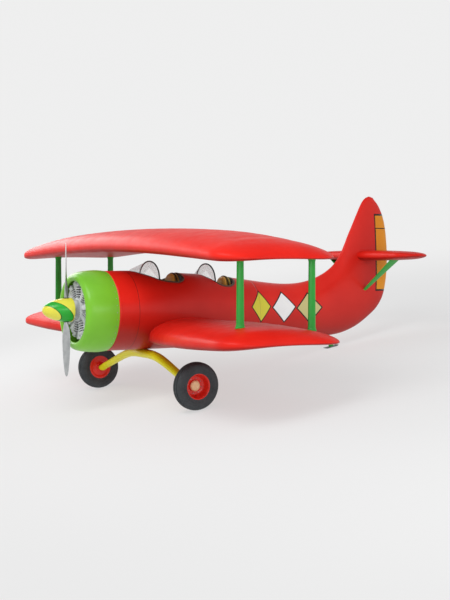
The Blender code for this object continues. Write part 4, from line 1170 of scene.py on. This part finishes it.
def make_propeller():
    """Two blades of twisted aerofoil sections on a hub with its back plate."""
    # Columns: share of radius, chord, thickness, pitch angle in degrees
    table = np.array([(0.05, 0.060, 0.060, 50), (0.20, 0.066, 0.058, 45),
                      (0.30, 0.115, 0.038, 38), (0.45, 0.150, 0.027, 30),
                      (0.65, 0.150, 0.020, 23), (0.85, 0.118, 0.014, 18),
                      (0.95, 0.080, 0.010, 16), (0.99, 0.042, 0.007, 15)])
    share = np.concatenate([np.linspace(0.05, 0.95, 70), np.linspace(0.955, 0.99, 10)])
    rows = smooth(table[:, 0], table, share)
    tip = np.array([(0.995, 0.026, 0.005, 15), (0.9985, 0.012, 0.003, 15)])
    rows = np.vstack([rows, tip])
    pitch = np.radians(rows[:, 3])
    shells = []
    for hand in (1, -1):
        along = np.stack([-np.sin(pitch), hand * np.cos(pitch), 0 * pitch], -1)
        across = np.stack([-np.cos(pitch), -hand * np.sin(pitch), 0 * pitch], -1)
        middles = np.stack([np.full(len(rows), PROPELLER_STATION), 0 * pitch,
                            hand * rows[:, 0] * 1.02], -1)
        shells.append(skin(rings(middles, along * rows[:, 1:2] / 2,
                                 across * rows[:, 2:3] / 2, 40)))
    back = SPINNER_LENGTH - PROPELLER_STATION
    hub = softened([(0, -0.050), (0.075, -0.050), (0.090, -0.035), (0.090, 0.035),
                    (0.060, 0.055), (0.170, back - 0.012), (0.176, back - 0.006),
                    (0.176, back), (0.050, back), (0.050, 0.139), (0, 0.139)], 1, False)
    shells.append(turned(hub, (PROPELLER_STATION, 0, 0), (1, 0, 0), 72, closed=False))
    piece("propeller_blades", shells, "blade_grey", "propeller", stands_for=["propeller"])


ENGINE_STATION = 0.625
FIREWALL_STATION = 1.0996
CYLINDER_COUNT = 9
CYLINDER_ANGLES = np.radians(90 - np.arange(CYLINDER_COUNT) * 360 / CYLINDER_COUNT)
HALF_STEP = math.pi / CYLINDER_COUNT
BARREL_RADIUS, FIN_RADIUS = 0.052, 0.072
FIN_START, FIN_PITCH, FIN_THICKNESS, FIN_COUNT = 0.205, 0.0380, 0.0165, 5


def spoke_at(angle):
    """The unit vectors along a cylinder and across it, seen from ahead."""
    return (np.array((0, math.cos(angle), math.sin(angle))),
            np.array((0, -math.sin(angle), math.cos(angle))))


def cylinder_skins(middle, angle):
    """One cylinder: black barrel, thick cooling fins, flange, and a head of four shallow
    fins, all turned about the cylinder's own axis."""
    radial, _ = spoke_at(angle)
    core = [(0, 0.165), (BARREL_RADIUS, 0.165), (BARREL_RADIUS, 0.372), (0, 0.372)]
    fins = []
    for i in range(FIN_COUNT):
        low = FIN_START + i * FIN_PITCH
        high = low + FIN_THICKNESS
        ring = [(0.050, low), (FIN_RADIUS, low), (FIN_RADIUS, high), (0.050, high)]
        fins.append(turned(softened(ring, 1), middle, radial, 48))
    head = [(0, 0.368), (0.064, 0.368), (0.066, 0.372)]
    for low in (0.380, 0.398, 0.416):
        head += [(0.054, low), (0.067, low + 0.001), (0.067, low + 0.009), (0.054, low + 0.010)]
    head += [(0.056, 0.430), (0.050, 0.446), (0.030, 0.456), (0, 0.458)]
    flange = softened([(0.0, 0.180), (0.066, 0.180), (0.066, 0.190), (0.0, 0.190)], 1, False)
    return (turned(core, middle, radial, 40, closed=False), fins,
            turned(head, middle, radial, 48, closed=False),
            turned(flange, middle, radial, 48, closed=False))


def sheet_between(middle, angle):
    """The pressed sheet that fills the wedge between two cylinders: as wide as they leave
    free at each distance, with a raised rib along its middle."""
    radial, across = spoke_at(angle)
    run = np.linspace(0.228, 0.455, 24)
    half = (run * math.sin(HALF_STEP) - FIN_RADIUS - 0.004) / math.cos(HALF_STEP)
    side = np.linspace(-1, 1, 21)
    lift = 0.004 * np.exp(-(side / 0.16) ** 2)
    shape = np.concatenate([np.stack([side, -0.001 - lift], -1),
                            np.stack([side[::-1], 0.001 - lift[::-1]], -1)])
    grid = (middle + run[:, None, None] * radial
            + half[:, None, None] * shape[None, :, :1] * across
            + shape[None, :, 1:] * np.array((1.0, 0, 0)))
    return skin(grid)


def make_engine():
    """Crankcase, nine finned cylinders with heads and rocker boxes, push rod tubes, plugs
    and the light sheets between the cylinders."""
    mount = FIREWALL_STATION - ENGINE_STATION
    middle = np.array((ENGINE_STATION, 0, 0))
    case = softened([(0, -0.099), (0.060, -0.099), (0.090, -0.084), (0.163, -0.077),
                     (0.188, -0.067), (0.188, 0.078), (0.158, 0.095), (0.158, mount),
                     (0, mount)], 2, closed=False)
    cases = [turned(case, middle, (1, 0, 0), 90, closed=False)]
    barrels, fins, heads, tubes, bolts, sheets = [], [], [], [], [], []
    for angle in CYLINDER_ANGLES:
        radial, across = spoke_at(angle)
        barrel, rings_round, head, flange = cylinder_skins(middle, angle)
        barrels.append(barrel)
        fins += rings_round
        heads.append(head)
        cases.append(flange)
        sheets.append(sheet_between(middle - (0.030, 0, 0), angle + HALF_STEP))
        for sign in (-1, 1):
            foot = middle + radial * 0.176 + across * sign * 0.040 - (0.056, 0, 0)
            top = middle + radial * 0.425 + across * sign * 0.062 - (0.046, 0, 0)
            tubes.append(tube(np.linspace(foot, top, 12), 0.0055, across, 12))
            box_middle = middle + radial * 0.430 + across * sign * 0.030
            swell = np.sin(np.linspace(0.25, math.pi - 0.25, 16)) ** 0.3
            box = rings(box_middle + np.linspace(-0.066, 0.046, 16)[:, None] * (1, 0, 0),
                        np.outer(0.018 * swell, radial), np.outer(0.013 * swell, across), 20,
                        3.0)
            heads.append(skin(box))
            plug = box_middle - radial * 0.022 + across * sign * 0.020
            bolts.append(tube(np.linspace(plug, plug - (0.070, 0, 0), 5), 0.006, radial, 10))
        ring = np.arange(6) * math.pi / 3 + 0.3
        spots = (middle + radial * 0.190 + np.cos(ring)[:, None] * across * 0.060
                 + np.sin(ring)[:, None] * np.array((0.060, 0, 0)))
        bolts += domes(spots, np.broadcast_to(radial, (6, 3)), 0.0045, 0.005, 8)
    ring = round_turn(27)
    rim = np.stack([np.full(27, ENGINE_STATION - 0.078), 0.150 * np.cos(ring),
                    0.150 * np.sin(ring)], -1)
    bolts += domes(rim, np.broadcast_to((-1.0, 0.0, 0.0), (27, 3)), 0.0060, 0.008, 8)
    piece("crankcase", cases, "engine_grey", stands_for=["engine"])
    # The barrels' black is enamel and partly painted shade, for the dark deep between the fins.
    piece("cylinder_barrels", barrels, "barrel_black_and_fin_shade")
    piece("cylinder_fins", fins, "fin_grey")
    piece("cylinder_heads", heads, "fin_grey")
    piece("intercylinder_sheets", sheets, "baffle_grey")
    piece("push_rod_tubes", tubes, "fitting")
    piece("engine_bolts_and_plugs", bolts, "fitting")


COWL_DROP = 0.03


def cowl_profile():
    """Outside of the ring cowl from its inner lip over the blunt nose to the rear edge."""
    points = np.array([(0.492, 0.547), (0.478, 0.540), (0.470, 0.526), (0.475, 0.507),
                       (0.505, 0.488), (0.546, 0.494), (0.580, 0.524), (0.603, 0.585),
                       (0.620, 0.680), (0.6305, 0.790), (0.6325, 0.880), (0.6215, 0.9948)])
    return resampled(points, 80)


def make_cowl():
    """A blunt-lipped ring cowl: one wall rolled into its lip, with fastener heads."""
    outside = cowl_profile()
    inside = softened([(0.600, 0.9948), (0.596, 0.985), (0.596, 0.66), (0.574, 0.600),
                       (0.537, 0.563), (0.502, 0.551)], 2, closed=False)
    drop = np.array((0, 0, -COWL_DROP))
    wall = turned(np.vstack([outside, inside]), drop, (1, 0, 0), 160)
    piece("ring_cowl", [wall], "cowl_green", stands_for=["cowl"])
    angle = round_turn(36)
    spoke = np.stack([0 * angle, np.cos(angle), np.sin(angle)], -1)
    heads = domes(drop + spoke * 0.6245 + (0.955, 0, 0), spoke, 0.007, 0.0035)
    piece("cowl_fasteners", heads, "fitting")


BAFFLE_STATION = 0.731
BAFFLE_RINGS = (0.27, 0.50)


def make_baffle():
    """The pressed sheet behind the cylinders: a disc with two raised rings."""
    radius = np.linspace(0.162, 0.560, 64)
    lift = sum(0.004 * np.exp(-((radius - ring) / 0.008) ** 2) for ring in BAFFLE_RINGS)
    front = np.stack([radius, BAFFLE_STATION - lift], -1)
    back = np.stack([radius[::-1], BAFFLE_STATION + 0.012 - lift[::-1]], -1)
    disc = np.vstack([front, back])
    piece("baffle_disc", [turned(disc, (0, 0, 0), (1, 0, 0), 128)], "baffle_grey",
          stands_for=["engine_baffle"])


# Cockpits


SCREEN_WALL = 0.006


def screen_arch(which, share, angle, wall):
    """The windscreen's skin: half cones whose feet follow the middle of the cockpit's edge
    and whose crest climbs from the deck to the top of the rear rim."""
    tip, rim, top = WINDSCREENS[which]
    edge = edge_path(which)
    station = tip + (rim - tip) * share
    foot = np.interp(station, edge[:, 0], edge[:, 1])
    width = 0.018 + hull_half_width(station, foot, SHELL_WALL / 2)
    deck = float(np.interp(tip, HULL_SECTIONS[:, 0], HULL_SECTIONS[:, 1]))
    crest = deck + 0.008 + (top - deck - 0.004) * share ** 0.85
    foot, width, crest = (v[:, None] for v in (foot - 0.010, width - wall, crest))
    station = np.broadcast_to(station[:, None], (len(share), len(angle)))
    return np.stack([station, width * np.cos(angle),
                     foot + (crest - foot - wall) * np.sin(angle) ** 0.85], -1)


def make_windscreen(which):
    """Clear screen with a dark bead round its rear rim and along its feet."""
    share = np.linspace(0, 1, 40) ** 1.3
    angle = np.linspace(0, math.pi, 61)
    outer, inner = (screen_arch(which, share, angle, wall) for wall in (0.0, SCREEN_WALL))
    grid = np.concatenate([outer, inner[:, ::-1]], 1)
    piece("screen_" + which, [skin(grid)], "screen", stands_for=["windscreen_" + which])
    arch = screen_arch(which, np.array([1.0]), np.linspace(0.02, math.pi - 0.02, 90),
                       SCREEN_WALL / 2)[0]
    beads = [tube(arch, 0.0115, (1, 0, 0), 14)]
    for index in (0, -1):
        foot = screen_arch(which, np.linspace(0.0, 1.0, 60) ** 1.3, angle[[index]],
                           SCREEN_WALL / 2)[:, 0]
        foot[:, 2] += 0.012
        beads.append(tube(foot, 0.010, (0, 1, 0), 12))
    piece("screen_frame_" + which, beads, "screen_frame")


def points_of(mesh):
    """A mesh's points as rows."""
    flat = np.empty(3 * len(mesh.vertices), np.float32)
    mesh.vertices.foreach_get("co", flat)
    return flat.reshape(-1, 3)


STUFFING_MESH, STUFFING_FRAMES, STUFFING_PRESSURE = 0.006, 20, 4.0


def stuffed(name, mesh, reach):
    """A pad's skin remeshed evenly and blown up as cloth under pressure. No point moves
    further than its reach from where it began."""
    scene = bpy.context.scene
    blank = bpy.data.objects.new(name, mesh)
    scene.collection.objects.link(blank)
    even = blank.modifiers.new("even_mesh", "REMESH")
    even.mode, even.voxel_size = "VOXEL", STUFFING_MESH
    graph = bpy.context.evaluated_depsgraph_get()
    mesh = bpy.data.meshes.new_from_object(blank.evaluated_get(graph))
    blank.modifiers.clear()
    blank.data = mesh
    start = points_of(mesh)
    cloth = blank.modifiers.new("stuffing", "CLOTH")
    cloth.settings.use_pressure = True
    cloth.settings.uniform_pressure_force = STUFFING_PRESSURE
    cloth.settings.effector_weights.gravity = 0.0
    cloth.point_cache.frame_start, cloth.point_cache.frame_end = 1, STUFFING_FRAMES
    for step in range(1, STUFFING_FRAMES + 1):
        scene.frame_set(step)
    graph = bpy.context.evaluated_depsgraph_get()
    move = points_of(blank.evaluated_get(graph).data) - start
    scene.frame_set(1)
    bpy.data.objects.remove(blank)
    length = np.linalg.norm(move, axis=1, keepdims=True)
    placed = start + move * np.minimum(1.0, reach / np.maximum(length, 1e-9))
    mesh.vertices.foreach_set("co", placed.ravel())
    mesh.name = name
    mesh.shade_smooth()
    return mesh


def make_pad(name, shells, reach):
    """A stuffed leather pad."""
    mesh = mesh_of(name, shells)
    mesh = stuffed(name, mesh, reach)
    piece(name, mesh, "seat_leather")


def make_seat(which):
    """A bucket seat whose deep back rest is tan leather in front and olive behind, with
    a dark piping over the crown between them. The olive is painted shade: a shaded copy of
    the tan leather, and both are painted lighter as painted light."""
    station, top, half_width = SEATS[which]
    low, deep = SEAT_FOOT, SEAT_DEPTH / 2
    t = np.sin(np.linspace(0, math.pi / 2, 30))
    narrow = np.sqrt(1 - np.clip(t, 0, 0.9995) ** 4)
    depth = deep * (0.35 + 0.65 * narrow)
    width = half_width * (0.12 + 0.88 * narrow)
    crown = np.stack([station + 0.055 + 0.02 * t, 0 * t, low + (top - low) * t], -1)
    shell = rings(crown + (depth / 2)[:, None] * (1, 0, 0), (depth / 2)[:, None] * (1, 0, 0),
                  width[:, None] * (0, 1, 0), 56, 2.3)
    # Columns: height, half length, share of the seat's half width
    base_rows = np.array([(FLOOR_TOP + 0.001, 0.105, 0.70), (-0.20, 0.115, 0.80),
                          (-0.135, 0.150, 0.97), (-0.125, 0.150, 0.97)])
    fine = smooth(np.arange(4.0), base_rows, np.linspace(0, 3, 30))
    spot = np.stack([np.full(30, station - 0.145), np.zeros(30), fine[:, 0]], -1)
    base = rings(spot, fine[:, 1:2] * (1, 0, 0), (fine[:, 2:3] * half_width) * (0, 1, 0), 48,
                 3.0)
    piece("seat_shell_" + which, [skin(shell), skin(base)], "seat_shell",
          stands_for=["seat_" + which])
    pad = rings(crown + (0, 0, 0.03) * (1 - t[:, None]) - (depth / 2)[:, None] * (1, 0, 0),
                (depth / 2 - 0.004)[:, None] * (1, 0, 0),
                (width - 0.006)[:, None] * (0, 1, 0), 56, 2.3)
    make_pad("back_rest_" + which, [skin(pad)], 0.006)
    edge = np.stack([crown[:, 0], width - 0.001, crown[:, 2]], -1)
    cord = np.vstack([edge[2:], edge[:1:-1] * (1, -1, 1)])
    piece("back_piping_" + which, [tube(resampled(cord, 140), 0.0085, (1, 0, 0), 12)],
          "seat_piping")
    make_pad("cushion_" + which, [pillow((station - 0.268, -(half_width - 0.034), -0.128),
                                         (station - 0.034, half_width - 0.034, -0.080), 3.2)],
             0.007)


DIAL_MARKS = 12


def make_panel(which, station, rows):
    """Round dials on the panel's rear face: bezel, dark face, white marks and a hand. A row
    gives the dial's side, height and radius, and the angle of its hand."""
    bezels, faces, marks = [], [], []
    for side, height, radius, hand in rows:
        centre = np.array((station, side, height))
        bezels.append(turned(softened([(radius, 0), (radius + 0.007, 0),
                                       (radius + 0.006, 0.010), (radius - 0.003, 0.010),
                                       (radius - 0.003, 0.004)], 2), centre, (1, 0, 0), 40))
        faces.append(turned([(0, 0.0), (radius, 0.0), (radius, 0.004), (0, 0.004)], centre,
                            (1, 0, 0), 32, closed=False))
        a = round_turn(DIAL_MARKS)
        spoke = np.stack([0 * a, np.sin(a), np.cos(a)], -1)
        across = np.stack([0 * a, np.cos(a), -np.sin(a)], -1)
        marks += blocks(centre + spoke * radius * 0.80 + (0.0045, 0, 0), spoke * radius * 0.09,
                        across * 0.0011, [(0.0006, 0, 0)] * DIAL_MARKS)
        point = np.array((0, math.sin(hand), math.cos(hand)))
        turn = np.array((0, math.cos(hand), -math.sin(hand)))
        marks += blocks([centre + point * radius * 0.28 + (0.006, 0, 0)],
                        [point * radius * 0.42], [turn * 0.0014], [(0.0006, 0, 0)])
    piece("dial_bezels_" + which, bezels, "screen_frame")
    piece("dial_faces_" + which, faces, "dial_face")
    piece("dial_marks_" + which, marks, "dial_white")


def make_stick(which, station):
    """Control stick: a bent tube with a moulded grip and a gaiter at the floor."""
    low = FLOOR_TOP + 0.001
    path = resampled([(station, 0, low), (station, 0, low + 0.06),
                      (station + 0.01, 0, low + 0.20), (station + 0.03, 0, low + 0.35)], 30)
    piece("stick_tube_" + which, [tube(path, 0.0105, (1, 0, 0), 20)], "steel",
          stands_for=["stick_" + which])
    z = np.linspace(0, 0.105, 36)
    size = 0.0165 + 0.0012 * np.cos(z / 0.105 * 8 * math.pi) - 0.004 * (z / 0.105 - 0.5) ** 2
    spot = np.stack([station + 0.030 + 0.10 * z, 0 * z, low + 0.345 + z], -1)
    grip = tube(spot, size, (1, 0, 0), 24)
    cone = np.linspace(0, 1, 24)
    folds = 0.030 - 0.018 * cone + 0.0016 * np.cos(cone * 10 * math.pi)
    boot = np.stack([np.full(24, station), 0 * cone, low + 0.055 * cone], -1)
    gaiter = skin(rings(boot, folds[:, None] * (1, 0, 0), folds[:, None] * (0, 1, 0), 24))
    piece("stick_grip_" + which, [grip, gaiter], "grip")


def dress_nodes():
    """Frame nodes whose own shape is right keep it and take a finish."""
    for node, finish in (("cockpit_floor", "boards"), ("bulkhead_front", "interior"),
                         ("bulkhead_rear", "interior"), ("panel_front", "interior"),
                         ("panel_rear", "interior"), ("firewall", "fitting"),
                         ("axle_left", "steel"), ("axle_right", "steel")):
        mesh = frame["nodes"][node].data
        mesh.materials.clear()
        mesh.materials.append(FINISHES[finish][0])


# Stage

CAMERA_AZIMUTH, CAMERA_DISTANCE = math.radians(60.0), 20.0
CAMERA_RISE = math.radians(2.2)
CAMERA_TARGET = np.array((3.182, 0.0, 0.0975))
CAMERA_LENS, CAMERA_SENSOR = 73.2, 36.0


def set_up(made, place, right, back):
    """Puts a camera or lamp at a place, its own X to the right and its own Z backwards."""
    turn = np.eye(4)
    turn[:3] = np.stack([right, np.cross(back, right), back, place], -1)
    made.matrix_world = Matrix(turn.tolist())
    bpy.context.scene.collection.objects.link(made)


def make_camera():
    """The photograph's view: 60 degrees from the nose towards port, almost level, level
    with the machine's own flight line."""
    back = np.array((-math.cos(CAMERA_AZIMUTH) * math.cos(CAMERA_RISE),
                     math.sin(CAMERA_AZIMUTH) * math.cos(CAMERA_RISE), math.sin(CAMERA_RISE)))
    right = np.array((math.sin(CAMERA_AZIMUTH), math.cos(CAMERA_AZIMUTH), 0.0))
    place = NOSE + (CAMERA_TARGET + back * CAMERA_DISTANCE) @ DRAWING
    lens = bpy.data.cameras.new("camera")
    lens.lens, lens.sensor_width, lens.sensor_fit = CAMERA_LENS, CAMERA_SENSOR, "AUTO"
    lens.clip_end = 200.0
    made = bpy.data.objects.new("camera", lens)
    set_up(made, place, right @ DRAWING, back @ DRAWING)
    bpy.context.scene.camera = made


def make_light(name, place, aim, size, power):
    """A soft white rectangular lamp at a place, turned to a point."""
    lamp = bpy.data.lights.new(name, "AREA")
    lamp.shape, lamp.energy = "RECTANGLE", power
    lamp.size, lamp.size_y = size
    made = bpy.data.objects.new(name, lamp)
    made.visible_camera = False
    away = unit(np.array(place) - np.array(aim))
    set_up(made, place, unit(np.cross((0.0, 0.0, 1.0), away)), away)


PALE = (0.86, 0.86, 0.86, 1.0)
CEILING = (0.38, 0.38, 0.385, 1.0)


def make_stage():
    """A pale round floor that runs out into an equally pale surround, under a darker
    ceiling, with soft lamps. Part of the floor's brightness is its own, which keeps its
    shadows soft."""
    radius = np.concatenate([np.linspace(0, 14, 15), np.linspace(16, 120, 20)])
    a = round_turn(96)
    grid = radius[:, None, None] * np.stack([np.cos(a), np.sin(a), 0 * a], -1)
    points, faces = skin(grid, caps=False)
    mesh = bpy.data.meshes.new("studio_floor")
    mesh.from_pydata(points, [], faces)
    floor = bpy.data.objects.new("studio_floor", mesh)
    bpy.context.scene.collection.objects.link(floor)
    material, tree, shader, _ = start_material("studio_floor_paper", Roughness=0.9,
                                               Base_Color=(0.80, 0.80, 0.80, 1.0),
                                               Specular_IOR_Level=0.1)
    place = add(tree, "ShaderNodeTexCoord").outputs["Object"]
    away = add(tree, "ShaderNodeVectorMath", {0: place}, operation="LENGTH").outputs["Value"]
    far = level_out(tree, away, 3.0, 15.0, 0.62, 1.0, "SMOOTHSTEP")
    glow = add(tree, "ShaderNodeEmission", {"Color": PALE, "Strength": 1.0})
    blend = add(tree, "ShaderNodeMixShader", {0: far, 1: shader.outputs["BSDF"],
                                              2: glow.outputs["Emission"]})
    out = tree.nodes["Material Output"]
    tree.links.new(blend.outputs["Shader"], out.inputs["Surface"])
    mesh.materials.append(material)
    world = bpy.data.worlds.new("studio")
    world.use_nodes = True
    tree = world.node_tree
    _, _, rise = axes_of(tree, add(tree, "ShaderNodeTexCoord").outputs["Generated"])
    ceiling = level_out(tree, rise, 0.20, 0.50, kind="SMOOTHSTEP")
    tree.links.new(over(tree, ceiling, PALE, CEILING),
                   tree.nodes["Background"].inputs["Color"])
    bpy.context.scene.world = world
    make_light("key_lamp", (5.0, 4.0, 8.5), (0.0, 0.5, 1.2), (6.0, 4.0), 440)
    make_light("sheen_lamp", (3.0, -8.0, 5.5), (0.0, 0.0, 1.2), (9.0, 4.0), 420)
    make_light("side_lamp", (1.0, 11.0, 3.0), (0.0, 0.0, 1.2), (6.0, 3.0), 190)
    bpy.context.scene.view_settings.view_transform = "Standard"


def main():
    """The stage and camera, and then every piece."""
    make_camera()
    make_stage()
    make_front_body()
    make_tail()
    for which in COCKPIT_EDGES:
        make_coaming(which)
        make_windscreen(which)
        make_seat(which)
    make_stick("front", 1.62)
    make_stick("rear", 2.64)
    make_panel("front", 1.4605, ((0.0, 0.40, 0.045, 0.6), (0.135, 0.37, 0.038, 2.4),
                                 (-0.135, 0.37, 0.038, 4.0), (0.075, 0.26, 0.034, 5.4),
                                 (-0.075, 0.26, 0.034, 1.2)))
    make_panel("rear", 2.5905, ((0.0, 0.33, 0.045, 0.6), (0.130, 0.30, 0.036, 2.0),
                                 (-0.130, 0.30, 0.036, 4.4), (0.0, 0.21, 0.030, 3.1)))
    make_upper_wing()
    for hand, sign in HANDS:
        make_lower_wing(hand, sign)
        make_tailplane(hand, sign)
        make_wheel(hand, sign)
    make_struts()
    make_tail_struts()
    make_gear_bow()
    make_skid()
    make_cowl()
    make_baffle()
    make_engine()
    make_spinner()
    make_propeller()
    dress_nodes()


main()
